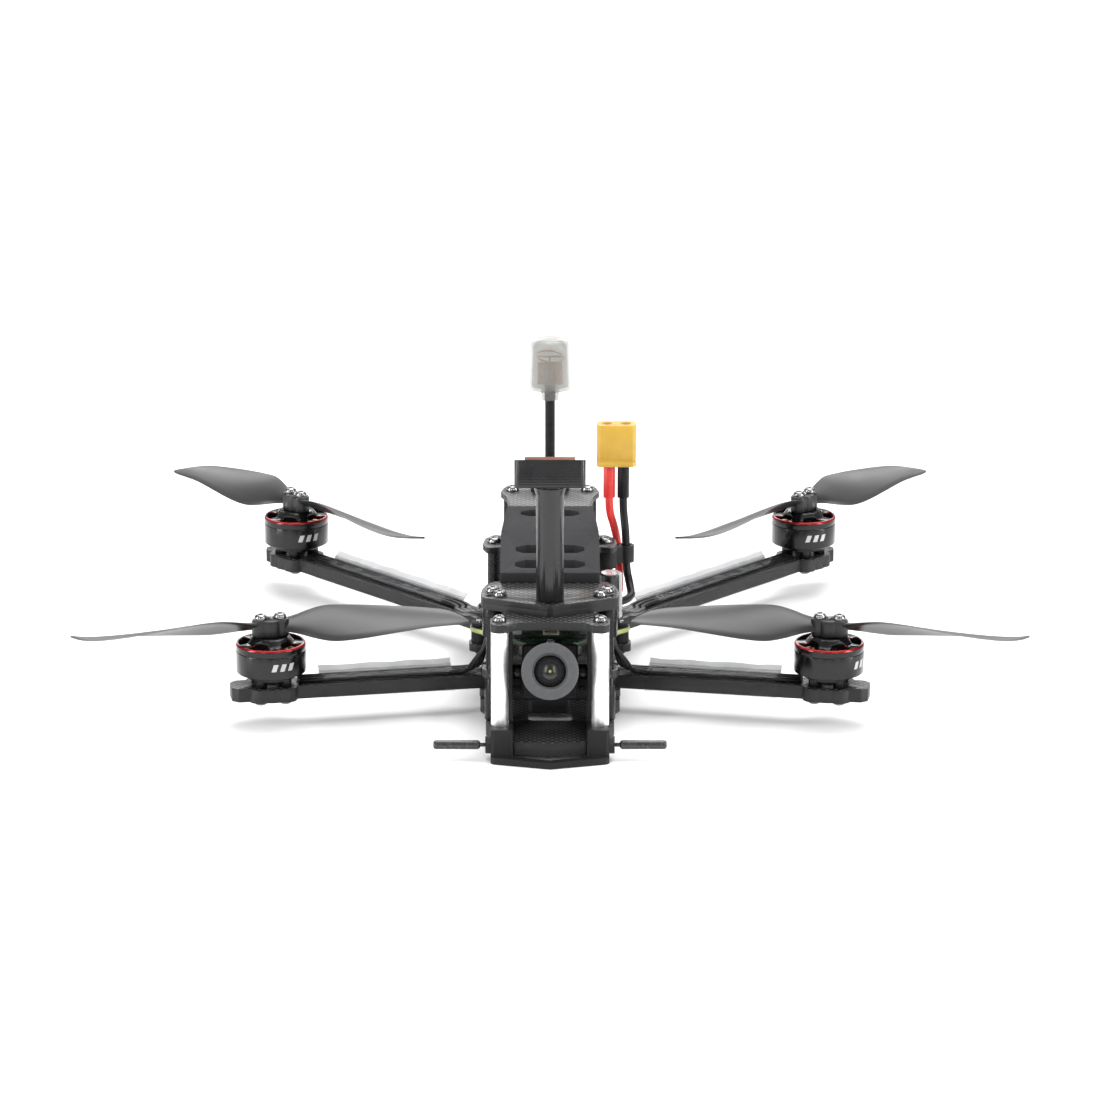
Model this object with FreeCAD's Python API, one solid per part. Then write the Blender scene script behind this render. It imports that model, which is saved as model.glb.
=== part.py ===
import FreeCAD, Part
import math
import os

# Four-inch camera quadcopter. Millimetres, +Z up. The drone's nose points along -Y and its own
# right-hand side is -X. X = 0 is the plane of symmetry, Y = 0 lies midway between the front and
# rear motors, and Z = 0 is the surface that the drone stands on.

V = FreeCAD.Vector
UP = V(0, 0, 1)
DOWN = V(0, 0, -1)
TINY = 0.001

# Driving dimensions
MOTOR_X = 71.5
MOTOR_Y = 60.0
MOTOR_R = 9.0
BELL_HEIGHT = 7.8
PROP_TIP_R = 50.9
FLOOR = 3.5
CARBON = 2.0
THIN_CARBON = 1.5
ARM_THICK = 3.5
M2_R = 1.0
M3_R = 1.5
FIT = 0.05
FOOT = 1.5

# Levels of the stack, from the ground up
BOTTOM_Z = FOOT
LOWER_Z = BOTTOM_Z + FLOOR
ARM_Z = LOWER_Z + CARBON
MID_Z = ARM_Z + ARM_THICK
MID_TOP = MID_Z + CARBON
STACK_Z = 16.45
STACK_TOP = STACK_Z + CARBON
BOARD_Z = 21.6
PCB = 1.2
BOARD_TOP = BOARD_Z + PCB
VIDEO_Z = 25.8
BELL_TOP = 21.75
BELL_Z = BELL_TOP - BELL_HEIGHT
SLEEVE_Z = 27.15
CAMERA_PLATE_Z = 33.75
FRONT_PLATE_Z = CAMERA_PLATE_Z + CARBON
TOP_Z = FRONT_PLATE_Z + THIN_CARBON
DECK = TOP_Z + THIN_CARBON
PAD_THICK = 2.6

# Plan positions on the +X side where they come in pairs
PILLAR = (12.6, -87.75)
FRONT_COLUMN = (14.4, -72.3)
FRONT_SCREW = (12.6, -75.9)
MID_COLUMN = (14.6, -27.0)
REAR_COLUMN = (10.2, 24.3)
ACCESSORY_HOLE = (15.3, -76.3)
ACCESSORY_R = 0.8
FRONT_ARM_HOLES = ((15.5, -49.2), (8.0, -47.8))
REAR_ARM_HOLES = ((17.0, -0.85), (10.5, -8.1))
MAST_Y = -79.7
ANTENNA_Y = 27.0
BOARD_Y = -49.65
BOARD_REACH = 18.05
CAMERA_PIVOT = V(0, -80.7, 20.15)
CAMERA_TILT = 18.0


# ---- general shapes -------------------------------------------------------------------------

def rounded_wire(points):
    """Closed wire through (x, y, radius) corners; a radius of 0 keeps the corner sharp."""
    corners = [V(x, y, 0) for x, y, _ in points]
    stops = []
    for i, (_, _, radius) in enumerate(points):
        here = corners[i]
        back = (corners[i - 1] - here).normalize()
        ahead = (corners[(i + 1) % len(corners)] - here).normalize()
        half = back.getAngle(ahead) / 2
        if radius == 0 or half > math.radians(89.5):
            stops.append((here, None, here))
            continue
        room = min((corners[i - 1] - here).Length, (corners[(i + 1) % len(corners)] - here).Length)
        reach = min(radius / math.tan(half), 0.47 * room)
        bend = reach * math.tan(half)
        inward = (back + ahead).normalize()
        middle = here + inward * (bend / math.sin(half) - bend)
        stops.append((here + back * reach, middle, here + ahead * reach))
    edges = []
    for i, (start, middle, end) in enumerate(stops):
        if middle is not None:
            edges.append(Part.Arc(start, middle, end).toShape())
        following = stops[(i + 1) % len(stops)][0]
        if end.distanceToPoint(following) > TINY:
            edges.append(Part.LineSegment(end, following).toShape())
    return Part.Wire(edges)


def slab(points, z, thickness):
    face = Part.Face(rounded_wire(points))
    face.translate(V(0, 0, z))
    return face.extrude(V(0, 0, thickness))


def whole_outline(half):
    """Full outline from its +X half, which runs from the nose to the tail."""
    other = [(-x, y, r) for x, y, r in reversed(half) if x > TINY]
    return list(half) + other


def rod(x, y, z, radius, height, axis=UP):
    return Part.makeCylinder(radius, height, V(x, y, z), axis)


def block(x0, x1, y0, y1, z0, z1):
    return Part.makeBox(x1 - x0, y1 - y0, z1 - z0, V(x0, y0, z0))


def fused(shapes):
    return shapes[0].multiFuse(shapes[1:]).removeSplitter() if len(shapes) > 1 else shapes[0]


def cut_all(shape, tools):
    for tool in tools:
        shape = shape.cut(tool)
    return shape


def mirrored(shape):
    return shape.mirror(V(0, 0, 0), V(1, 0, 0))


def pair(shape):
    return [shape, mirrored(shape)]


def both(points):
    return [(s * x, y) for x, y in points for s in (1, -1)]


def holes(points, z, depth, radius):
    return [rod(x, y, z - 1, radius, depth + 2) for x, y in points]


def softened(solid, radius, picks):
    """Fillet the edges whose middle point passes the test; the solid is kept if that fails."""
    edges = [e for e in solid.Edges if picks(e.CenterOfMass)]
    return solid.makeFillet(radius, edges) if edges else solid


def save(node, *solids):
    shape = solids[0] if len(solids) == 1 else Part.makeCompound(list(solids))
    for solid in shape.Solids:
        if not solid.isValid():
            print("NOT VALID", node)
    shape.exportStep("parts/" + node + ".step")


# ---- fasteners ------------------------------------------------------------------------------

def button_screw(point, length, direction=DOWN, shank=M2_R, head=1.75, height=1.3):
    """Button-head socket screw: the head's underside is at the point, the shank runs along
    the direction."""
    rim = height * 0.25
    outline = Part.Wire([
        Part.LineSegment(V(0, 0, 0), V(head, 0, 0)).toShape(),
        Part.LineSegment(V(head, 0, 0), V(head, 0, rim)).toShape(),
        Part.Arc(V(head, 0, rim), V(head * 0.86, 0, height * 0.72), V(head * 0.55, 0, height)).toShape(),
        Part.LineSegment(V(head * 0.55, 0, height), V(0, 0, height)).toShape(),
        Part.LineSegment(V(0, 0, height), V(0, 0, 0)).toShape()])
    dome = Part.Face(outline).revolve(V(0, 0, 0), UP, 360)
    hexagon = Part.makePolygon([V(head * 0.4, 0, 0)] * 1 + [
        V(head * 0.4 * math.cos(math.radians(a)), head * 0.4 * math.sin(math.radians(a)), 0)
        for a in range(60, 361, 60)])
    socket = Part.Face(hexagon).extrude(V(0, 0, height))
    socket.translate(V(0, 0, height * 0.45))
    screw = dome.cut(socket).fuse(rod(0, 0, -length, shank, length + rim)).removeSplitter()
    screw.Placement = FreeCAD.Placement(point, FreeCAD.Rotation(DOWN, direction))
    return screw


def nut(x, y, z, height=1.6):
    corners = [V(2.15 * math.cos(math.radians(a)), 2.15 * math.sin(math.radians(a)), 0)
               for a in range(0, 361, 60)]
    body = Part.Face(Part.makePolygon(corners)).extrude(V(0, 0, height))
    body.translate(V(x, y, z))
    return body.cut(rod(x, y, z - 1, M2_R + 0.02, height + 2))


# ---- carbon plates --------------------------------------------------------------------------

def bottom_plate():
    half = [(0, -92.3, 0), (9, -91, 1), (14.6, -88.5, 1.5), (14.9, -78, 3), (16.3, -75.2, 1.6),
            (16.3, -69.4, 1.6), (13.5, -64, 4), (18, -56, 3), (18, -43, 3), (11.5, -36, 5),
            (11.5, -16, 5), (19.6, -5.5, 3), (19.6, 3.5, 3), (12, 12, 5), (11.5, 17, 3),
            (13.2, 21, 2.5), (13.2, 28, 2.5), (8, 33, 3), (0, 33, 0)]
    plate = slab(whole_outline(half), BOTTOM_Z, FLOOR)
    drilled = both(FRONT_ARM_HOLES + REAR_ARM_HOLES + (PILLAR, FRONT_COLUMN, REAR_COLUMN))
    plate = cut_all(plate, holes(drilled, BOTTOM_Z, FLOOR, M2_R + FIT))
    return cut_all(plate, [window(*w, BOTTOM_Z, FLOOR) for w in ((5.6, -74, -57), (4.5, -40, -27),
                                                               (4.5, -22, -12), (5.0, 6, 19))])


def window(half_width, front, back, z, thickness):
    corners = [(half_width, front, 1.5), (half_width, back, 1.5), (-half_width, back, 1.5),
               (-half_width, front, 1.5)]
    return slab(corners, z - 1, thickness + 2)


CLAMP_REAR = [(19.6, -6, 3), (19.6, 3.5, 3), (12.5, 12, 4), (12, 17, 4), (13.2, 20.5, 3),
              (13.2, 28, 2.5), (9, 30, 2), (0, 30, 0)]


def lower_plate():
    half = [(0, -57, 0), (15.5, -57, 2.5), (18.2, -54, 2.5), (18.2, -43.5, 2.5), (12.6, -38, 4),
            (12.6, -16, 4)] + CLAMP_REAR
    plate = slab(whole_outline(half), LOWER_Z, CARBON)
    drilled = both(FRONT_ARM_HOLES + REAR_ARM_HOLES + (REAR_COLUMN,))
    plate = cut_all(plate, holes(drilled, LOWER_Z, CARBON, M2_R + FIT))
    return cut_all(plate, [window(4.5, -40, -27, LOWER_Z, CARBON), window(4.5, -22, -12, LOWER_Z, CARBON)])


def mid_plate():
    half = [(0, -57, 0), (15.2, -57, 2.5), (17.7, -54, 2.5), (17.7, -43.5, 2.5), (13.5, -38, 4),
            (13.5, -33, 2), (17.2, -29.9, 2.4), (17.2, -24.2, 2.4), (13, -20.5, 2), (12.6, -14, 3)]
    plate = slab(whole_outline(half + CLAMP_REAR), MID_Z, CARBON)
    drilled = both(FRONT_ARM_HOLES + REAR_ARM_HOLES + (MID_COLUMN, REAR_COLUMN))
    plate = cut_all(plate, holes(drilled, MID_Z, CARBON, M2_R + FIT))
    return cut_all(plate, [window(5.0, -42, -18, MID_Z, CARBON), window(5.0, 6, 19, MID_Z, CARBON)])


def stack_plate():
    """Plate that carries the boards, open in the middle, with an ear for each fixing."""
    half = [(0, -70, 0), (9.5, -70, 2), (11.9, -75, 1.2), (17.2, -75, 2.5), (17.2, -69.4, 2.5),
            (13.4, -66.4, 3), (13.4, -56, 3), (16.4, -52.6, 2), (20.9, -52.4, 2.6), (20.9, -46.9, 2.6),
            (16.4, -46.7, 2), (13.4, -42, 3), (13.4, -33, 3), (17.4, -29.9, 2.6), (17.4, -24.1, 2.6),
            (10, -24.1, 3), (6.5, -28.6, 2), (0, -28.6, 0)]
    plate = slab(whole_outline(half), STACK_Z, CARBON)
    drilled = both([FRONT_COLUMN, MID_COLUMN]) + board_holes()
    plate = cut_all(plate, holes(drilled, STACK_Z, CARBON, M2_R + FIT))
    return plate.cut(window(8.0, -63, -36.5, STACK_Z, CARBON))


def camera_plate():
    half = [(0, -89.6, 0), (8.5, -89.6, 3), (10.5, -92.0, 1.5), (14.6, -92.5, 1.8), (15.0, -86, 1.8),
            (11.0, -81, 3), (10.5, -74, 1.5), (0, -74, 0)]
    plate = slab(whole_outline(half), CAMERA_PLATE_Z, CARBON)
    plate = cut_all(plate, holes(both([PILLAR]), CAMERA_PLATE_Z, CARBON, M2_R + FIT))
    return plate.cut(rod(0, MAST_Y, CAMERA_PLATE_Z - 1, M3_R + FIT, CARBON + 2))


DECK_NOSE = [(0, -85.6, 0), (16.9, -78.0, 1.2), (17.45, -74.6, 2), (17.2, -70.8, 2), (16.2, -66.6, 1.5)]


def nose_mark(plate, z):
    """Small notch that marks the middle of the front edge."""
    return plate.cut(block(-0.65, 0.65, -86.5, -84.9, z - 1, z + 3))


def front_plate():
    plate = slab(whole_outline(DECK_NOSE + [(0, -66.0, 0)]), FRONT_PLATE_Z, THIN_CARBON)
    drilled = both([FRONT_COLUMN, FRONT_SCREW])
    plate = cut_all(plate, holes(drilled, FRONT_PLATE_Z, THIN_CARBON, M2_R + FIT))
    plate = plate.cut(rod(0, MAST_Y, FRONT_PLATE_Z - 1, M3_R + FIT, THIN_CARBON + 2))
    return nose_mark(accessory_holes(plate, FRONT_PLATE_Z), FRONT_PLATE_Z)


STRAP_SLOTS = ((9.0, -60.3, -53.0), (8.9, -46.5, -39.05), (7.8, -11.2, -5.3))


def strap_slot(half_width, front, back, z, thickness):
    """Wing-shaped slot for a battery strap, narrower at its outer ends."""
    near = front + 0.28 * (back - front)
    far = front + 0.72 * (back - front)
    corners = [(half_width - 1.9, front, 0.6), (half_width, near, 0.5), (half_width, far, 0.5),
               (half_width - 2.7, back, 0.8)]
    full = corners + [(-x, y, r) for x, y, r in reversed(corners)]
    return slab(full, z - 1, thickness + 2)


def top_plate():
    half = DECK_NOSE + [(14.6, -64.1, 1.5), (12.1, -63.1, 1), (12.0, -33.4, 1), (13.2, -32.0, 1),
                        (16.4, -33.2, 1.2), (17.6, -29.1, 2), (17.1, -24.0, 2), (14.8, -20.2, 1.5),
                        (12.6, -20.9, 1), (11.0, -17.0, 2), (10.8, 10.1, 3), (11.75, 17.4, 3),
                        (13.45, 22.3, 1.5), (12.7, 26.3, 1.5), (11.3, 29.7, 1.2), (0, 30.0, 0)]
    plate = slab(whole_outline(half), TOP_Z, THIN_CARBON)
    drilled = both([FRONT_COLUMN, FRONT_SCREW, MID_COLUMN, REAR_COLUMN])
    plate = cut_all(plate, holes(drilled, TOP_Z, THIN_CARBON, M2_R + FIT))
    plate = plate.cut(rod(0, MAST_Y, TOP_Z - 1, M3_R + FIT, THIN_CARBON + 2))
    plate = plate.cut(rod(0, ANTENNA_Y, TOP_Z - 1, STEM_R + 0.3, THIN_CARBON + 2))
    plate = cut_all(plate, [strap_slot(*s, TOP_Z, THIN_CARBON) for s in STRAP_SLOTS])
    return nose_mark(accessory_holes(plate, TOP_Z), TOP_Z)


def accessory_holes(plate, z):
    return cut_all(plate, holes(both([ACCESSORY_HOLE]), z, THIN_CARBON, ACCESSORY_R))


def battery_pad():
    half = [(0, -64.8, 0), (12.7, -64.8, 0.6), (12.84, -26.7, 2), (11.5, -1.3, 0.6), (0, -1.3, 0)]
    pad = slab(whole_outline(half), DECK, PAD_THICK)
    pad = cut_all(pad, [strap_slot(*s, DECK, PAD_THICK) for s in STRAP_SLOTS])
    return cut_all(pad, [rod(x, y, DECK - 1, 2.1, PAD_THICK + 2) for x, y in both([MID_COLUMN])])


# ---- arms -----------------------------------------------------------------------------------
# Each arm is drawn with its motor at the origin and its root along +X, then turned into place.

FRONT_ARM = {"width": 7.3, "turn": 10.9, "end": 68.0, "sleeve": (12.8, 47.3), "stagger": -1.3}
REAR_ARM = {"width": 7.3, "turn": -48.15, "end": 95.2, "sleeve": (12.3, 67.5), "stagger": 0.6}
MOTOR_PCD_R = 4.5
ARM_TIP = 10.5


def mount_points():
    return [(MOTOR_PCD_R * math.cos(math.radians(a)), MOTOR_PCD_R * math.sin(math.radians(a)))
            for a in (45, 135, 225, 315)]


def in_place(shape, motor_y, turn):
    """Move a shape from the arm's own frame to the right-hand (-X) motor."""
    shape = shape.copy()
    shape.rotate(V(0, 0, 0), UP, turn)
    shape.translate(V(-MOTOR_X, motor_y, 0))
    return shape


def arm(spec, bolt_points, motor_y):
    half = spec["width"] / 2
    bar = [(2, -half, 0), (spec["end"], -half, 1.0), (spec["end"], half, 1.0), (2, half, 0)]
    tip = [(-ARM_TIP, -2.4, 0.8), (-ARM_TIP + 1.6, -4.0, 0.8), (3, -4.0, 0), (3, 4.0, 0),
           (-ARM_TIP + 1.6, 4.0, 0.8), (-ARM_TIP, 2.4, 0.8)]
    pieces = [slab(bar, ARM_Z, ARM_THICK), slab(tip, ARM_Z, ARM_THICK), rod(0, 0, ARM_Z, 6.2, ARM_THICK)]
    pieces += [rod(x, y, ARM_Z, 3.1, ARM_THICK) for x, y in mount_points()]
    blank = fused(pieces)
    blank = cut_all(blank, holes(mount_points(), ARM_Z, ARM_THICK, M2_R + FIT))
    blank = blank.cut(rod(0, 0, ARM_Z - 1, 2.1, ARM_THICK + 2))
    placed = in_place(blank, motor_y, spec["turn"])
    return cut_all(placed, holes([(-x, y) for x, y in bolt_points], ARM_Z, ARM_THICK, M2_R + FIT))


WIRE_R = 0.65
WIRE_GAP = 1.6
WIRE_Z = MID_Z + WIRE_R + 0.05

# Free part of the middle wire of each arm on the -X side, with the direction in which its
# neighbours lie on either hand
FRONT_RUN = ((V(-18.9, -57.6, 15.2), V(-0.76, -0.64, 0)), (V(-16.8, -60.6, 20.2), V(-0.1, -1.0, 0)),
             (V(-14.7, -58.6, 24.5), V(0.62, -0.78, 0)), (V(-11.2, -55.4, 23.8), V(0.7, -0.71, 0)))
REAR_RUN = ((V(-23.8, -2.5, 12.8), V(1, 0, 0)), (V(-22.3, -16.0, 16.4), V(1, 0, 0)),
            (V(-20.8, -28.6, 19.6), V(1, 0, 0)), (V(-19.2, -38.0, 22.9), V(0.8, 0.6, 0)),
            (V(-15.2, -44.2, 23.8), V(0.7, 0.71, 0)))


def arm_wires(spec, motor_y, run):
    """Three phase wires: along the arm's top, then over the edge of the flight controller."""
    turn = math.radians(spec["turn"])
    ahead = V(math.cos(turn), math.sin(turn), 0)
    beside = V(-ahead.y, ahead.x, 0)
    hub = V(-MOTOR_X, motor_y, WIRE_Z)
    hand = 1 if motor_y > 0 else -1
    wires = []
    for k in (-1, 0, 1):
        finish = spec["sleeve"][1] + 5.0 + k * spec["stagger"]
        path = [hub + ahead * s + beside * (hand * k * WIRE_GAP * spread)
                for s, spread in ((6.9, 1.0), (finish * 0.5, 0.9), (finish, 1.0))]
        path += [point + across * (k * WIRE_GAP) for point, across in run]
        wires.append(tube(path, WIRE_R))
    return wires


def tube(points, radius):
    """Round tube along straight runs joined by tangent arcs, each sized by its two runs."""
    edges = []
    start = points[0]
    for before, here, after in zip(points, points[1:], points[2:]):
        back = before - here
        ahead = after - here
        shorter = min(back.Length, ahead.Length)
        back.normalize()
        ahead.normalize()
        half = back.getAngle(ahead) / 2
        if half > math.radians(89.7):
            continue
        reach = 0.45 * shorter
        bend = reach * math.tan(half)
        inward = (back + ahead).normalize()
        middle = here + inward * (bend / math.sin(half) - bend)
        entry = here + back * reach
        leave = here + ahead * reach
        edges.append(Part.LineSegment(start, entry).toShape())
        edges.append(Part.Arc(entry, middle, leave).toShape())
        start = leave
    edges.append(Part.LineSegment(start, points[-1]).toShape())
    path = Part.Wire(edges)
    first = points[1] - points[0]
    profile = Part.Wire([Part.Circle(points[0], first, radius).toShape()])
    return path.makePipeShell([profile], True, False)


def arm_sleeve(spec, motor_y):
    """Clear shrink tube round an arm and its wires; its flattened fin stands up and back."""
    half = spec["width"] / 2
    start, finish = spec["sleeve"]
    low, high = ARM_Z - 0.1, WIRE_Z + WIRE_R + 0.1
    wall = 0.3
    outer = block(start, finish, -half - 0.1 - wall, half + 0.1 + wall, low - wall, high + wall)
    fin = [(half + 0.05, 11.3), (half + 1.85, 13.15), (half + 1.6, 13.4), (half - 0.05, 12.1)]
    profile = Part.makePolygon([V(start, y, z) for y, z in fin + fin[:1]])
    seam = Part.Face(profile).extrude(V(finish - start, 0, 0))
    inner = block(start - 1, finish + 1, -half - 0.1, half + 0.1, low, high)
    return in_place(outer.fuse(seam).cut(inner), motor_y, spec["turn"])


# ---- motors and propellers ------------------------------------------------------------------

SHAFT_R = 0.75
BEARING_R = 2.0
TUBE_R = 2.6
STATOR_R = 6.9
MAGNET_R = 7.35
HUB_Z = BELL_TOP + 1.6
HUB_HEIGHT = 4.5
HUB_TOP = HUB_Z + HUB_HEIGHT
BOSS_R = 4.6
SCREW_REACH = 2.5
BASE_Z = BELL_Z - 1.4


def motor_base():
    """Four feet on the arm, a spider under the bell and the tube that holds the bearings."""
    feet = [rod(x, y, MID_Z, 1.6, BASE_Z - MID_Z + 0.2) for x, y in mount_points()]
    spider = rod(0, 0, BASE_Z, 6.2, 1.1)
    column = rod(0, 0, BASE_Z, TUBE_R, BELL_TOP - 1.6 - BASE_Z)
    body = fused([spider, column] + feet)
    body = body.cut(rod(0, 0, MID_Z - 1, BEARING_R, BELL_TOP))
    shelf = rod(0, 0, BASE_Z + 2.4, BEARING_R + TINY, 1.6).cut(rod(0, 0, BASE_Z, SHAFT_R + 0.4, 6))
    body = body.fuse(shelf).removeSplitter()
    return cut_all(body, [rod(x, y, MID_Z - 1, M2_R + FIT, 4.0) for x, y in mount_points()])


def bearings():
    low = rod(0, 0, BASE_Z + 0.3, BEARING_R, 2.1).cut(rod(0, 0, BASE_Z, SHAFT_R + 0.02, 4))
    high = rod(0, 0, BASE_Z + 4.0, BEARING_R, 2.1).cut(rod(0, 0, BASE_Z + 3, SHAFT_R + 0.02, 4))
    return [low, high]


def stator():
    """Laminated stack of twelve wound teeth on the bearing tube."""
    teeth = 12
    core = rod(0, 0, BELL_Z + 1.7, 4.3, 4.0)
    arms = []
    for i in range(teeth):
        angle = 360 / teeth * i
        tooth = block(3.8, STATOR_R - 0.5, -0.55, 0.55, BELL_Z + 1.7, BELL_Z + 5.7)
        coil = block(4.6, STATOR_R - 0.7, -0.95, 0.95, BELL_Z + 1.2, BELL_Z + 6.1)
        shoe = block(STATOR_R - 0.8, STATOR_R - 0.2, -1.3, 1.3, BELL_Z + 1.7, BELL_Z + 5.7)
        for piece in (tooth, coil, shoe):
            piece.rotate(V(0, 0, 0), UP, angle)
            arms.append(piece)
    body = fused([core] + arms)
    return body.cut(rod(0, 0, BELL_Z, TUBE_R + 0.01, BELL_HEIGHT))


def bell():
    """Rotor can: chamfered rim, flux ring with a groove, five open windows and a raised boss."""
    groove = BELL_TOP - 2.0
    outline = [V(MAGNET_R, 0, BELL_Z), V(MOTOR_R - 0.25, 0, BELL_Z), V(MOTOR_R, 0, BELL_Z + 0.25),
               V(MOTOR_R, 0, groove - 0.12), V(MOTOR_R - 0.14, 0, groove), V(MOTOR_R, 0, groove + 0.12),
               V(MOTOR_R, 0, BELL_TOP - 0.45), V(MOTOR_R - 0.35, 0, BELL_TOP),
               V(BOSS_R + 1.5, 0, BELL_TOP), V(BOSS_R, 0, BELL_TOP + 1.6), V(0, 0, BELL_TOP + 1.6),
               V(0, 0, BELL_TOP - 0.7), V(BOSS_R, 0, BELL_TOP - 0.7),
               V(BOSS_R + 1.7, 0, BELL_TOP - 1.0), V(MAGNET_R, 0, BELL_TOP - 1.0)]
    can = Part.Face(Part.makePolygon(outline + [outline[0]])).revolve(V(0, 0, 0), UP, 360)
    can = Part.makeSolid(can.Shells[0]) if can.ShapeType != "Solid" else can
    for i in range(5):
        window = [(BOSS_R + 0.5, -1.7, 0.5), (MOTOR_R - 1.0, -3.9, 0.6), (MOTOR_R - 0.2, 0, 3.0),
                  (MOTOR_R - 1.0, 3.9, 0.6), (BOSS_R + 0.5, 1.7, 0.5)]
        opening = slab(window, BELL_TOP - 2.5, 6)
        opening = opening.common(rod(0, 0, BELL_TOP - 3, MOTOR_R - 0.75, 7))
        opening.rotate(V(0, 0, 0), UP, 72 * i + 18)
        can = can.cut(opening)
    can = can.cut(rod(0, 0, BELL_Z, SHAFT_R, BELL_HEIGHT + 4))
    return cut_all(can, [rod(s * SCREW_REACH, 0, BELL_Z, M2_R + 0.02, BELL_HEIGHT + 4) for s in (1, -1)])



# Blade stations: radius, chord, pitch in degrees, and how far the chord's middle leads
BLADE = ((2.4, 4.4, 24, 0.0), (7.0, 6.2, 31, -0.4), (10.5, 8.8, 32, -0.9), (15.0, 12.2, 31, -1.3),
         (21.0, 13.3, 27, -1.5), (30.0, 12.6, 20, -1.1), (40.0, 10.6, 14, -1.0), (46.0, 9.0, 11, -2.0),
         (49.0, 6.0, 10, -4.0), (50.5, 1.6, 9, -6.3))
BLADE_RISE = 0.3
BLADE_DROOP = 0.9


def blade_section(radius, chord, pitch, lead):
    """Cambered lens section; the leading edge is the higher one, on the +Y side."""
    slope = math.radians(pitch)
    along = V(0, math.cos(slope), math.sin(slope))
    across = V(0, -math.sin(slope), math.cos(slope))
    droop = BLADE_DROOP * (radius / PROP_TIP_R) ** 2
    centre = V(radius, lead, HUB_Z + HUB_HEIGHT / 2 + BLADE_RISE - droop)
    thick = 0.55 + 1.5 * max(0.0, 1 - radius / 22) ** 2
    camber = 0.05 * chord
    front = centre + along * (chord / 2)
    back = centre - along * (chord / 2)
    upper = centre + across * (camber + thick / 2)
    lower = centre + across * (camber - thick / 2)
    return Part.Wire([Part.Arc(front, upper, back).toShape(), Part.Arc(back, lower, front).toShape()])


def propeller():
    """Two-blade propeller that turns counter-clockwise from above, its screws along X."""
    blade = Part.makeLoft([blade_section(*station) for station in BLADE], True, False)
    second = blade.copy()
    second.rotate(V(0, 0, 0), UP, 180)
    hub = fused([rod(SCREW_REACH, 0, HUB_Z, 2.3, HUB_HEIGHT), rod(-SCREW_REACH, 0, HUB_Z, 2.3, HUB_HEIGHT),
                 rod(0, 0, HUB_Z, 3.3, HUB_HEIGHT)])
    whole = hub.fuse([blade, second]).removeSplitter()
    whole = whole.cut(rod(0, 0, HUB_Z - 1, SHAFT_R + 0.03, HUB_HEIGHT + 2))
    return cut_all(whole, [rod(s * SCREW_REACH, 0, HUB_Z - 1, M2_R + FIT, HUB_HEIGHT + 2) for s in (1, -1)])


def shaft_and_screws():
    screws = [button_screw(V(s * SCREW_REACH, 0, HUB_TOP), 6.4, head=1.65) for s in (1, -1)]
    shaft = rod(0, 0, BASE_Z + 0.2, SHAFT_R - 0.002, HUB_TOP + 0.5 - BASE_Z - 0.2)
    return [shaft] + screws


def placed(shapes, x, y, turn):
    moved = []
    for shape in shapes:
        copy = shape.copy()
        copy.rotate(V(0, 0, 0), UP, turn)
        copy.translate(V(x, y, 0))
        moved.append(copy)
    return moved


# ---- camera cage ----------------------------------------------------------------------------

BRACKET_IN = 9.4


def camera_side():
    """Upright on the +X side that carries the camera, with a bush for its screw."""
    upright = block(BRACKET_IN, BRACKET_IN + CARBON, -84.8, -75.0, LOWER_Z, CAMERA_PLATE_Z)
    bush = rod(BRACKET_IN + CARBON, CAMERA_PIVOT.y, CAMERA_PIVOT.z, 2.4, 2.5, V(1, 0, 0))
    bore = rod(BRACKET_IN - 1, CAMERA_PIVOT.y, CAMERA_PIVOT.z, M2_R + FIT, 8, V(1, 0, 0))
    return upright.fuse(bush).removeSplitter().cut(bore)


def tilted(shape):
    """Turn a camera piece from level to its resting tilt."""
    shape = shape.copy()
    shape.rotate(CAMERA_PIVOT, V(-1, 0, 0), CAMERA_TILT)
    return shape


BODY_HALF = 7.0
LENS_R = 7.15
LENS_BORE = 4.0
STUB_R = 4.6


def barrel(start, finish, radius):
    """Rod along the level camera's line of sight, measured forwards from the pivot."""
    return rod(0, CAMERA_PIVOT.y - start, CAMERA_PIVOT.z, radius, finish - start, V(0, -1, 0))


def camera_housing():
    """Square camera body with rounded edges and a socket for the lens barrel."""
    y, z = CAMERA_PIVOT.y, CAMERA_PIVOT.z
    body = block(-BODY_HALF, BODY_HALF, y - 5.2, y + 6.0, z - BODY_HALF, z + BODY_HALF)
    body = body.makeFillet(0.9, body.Edges)
    body = fused([body, barrel(3.0, 6.0, 6.5)]).cut(barrel(1.5, 7.0, STUB_R))
    threads = [rod(s * 3.4, y, z, M2_R + 0.02, 6, V(s, 0, 0)) for s in (1, -1)]
    return tilted(cut_all(body, threads))


def camera_ring():
    y, z = CAMERA_PIVOT.y, CAMERA_PIVOT.z
    shell = fused([barrel(6.0, 15.0, LENS_R), barrel(1.6, 6.5, STUB_R - FIT)])
    mouth = Part.makeCone(LENS_BORE, LENS_BORE + 0.7, 1.4, V(0, y - 13.7, z), V(0, -1, 0))
    return tilted(cut_all(shell, [barrel(0, 16, LENS_BORE), mouth]))


def camera_lens():
    """Lens cell that fills the barrel, domed at the front."""
    cell = barrel(1.8, 10.4, LENS_BORE - FIT)
    ball = Part.makeSphere(5.2, V(0, CAMERA_PIVOT.y - 7.6, CAMERA_PIVOT.z))
    dome = ball.common(barrel(10.4, 14.0, LENS_BORE - FIT))
    return tilted(fused([cell, dome]))


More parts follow.
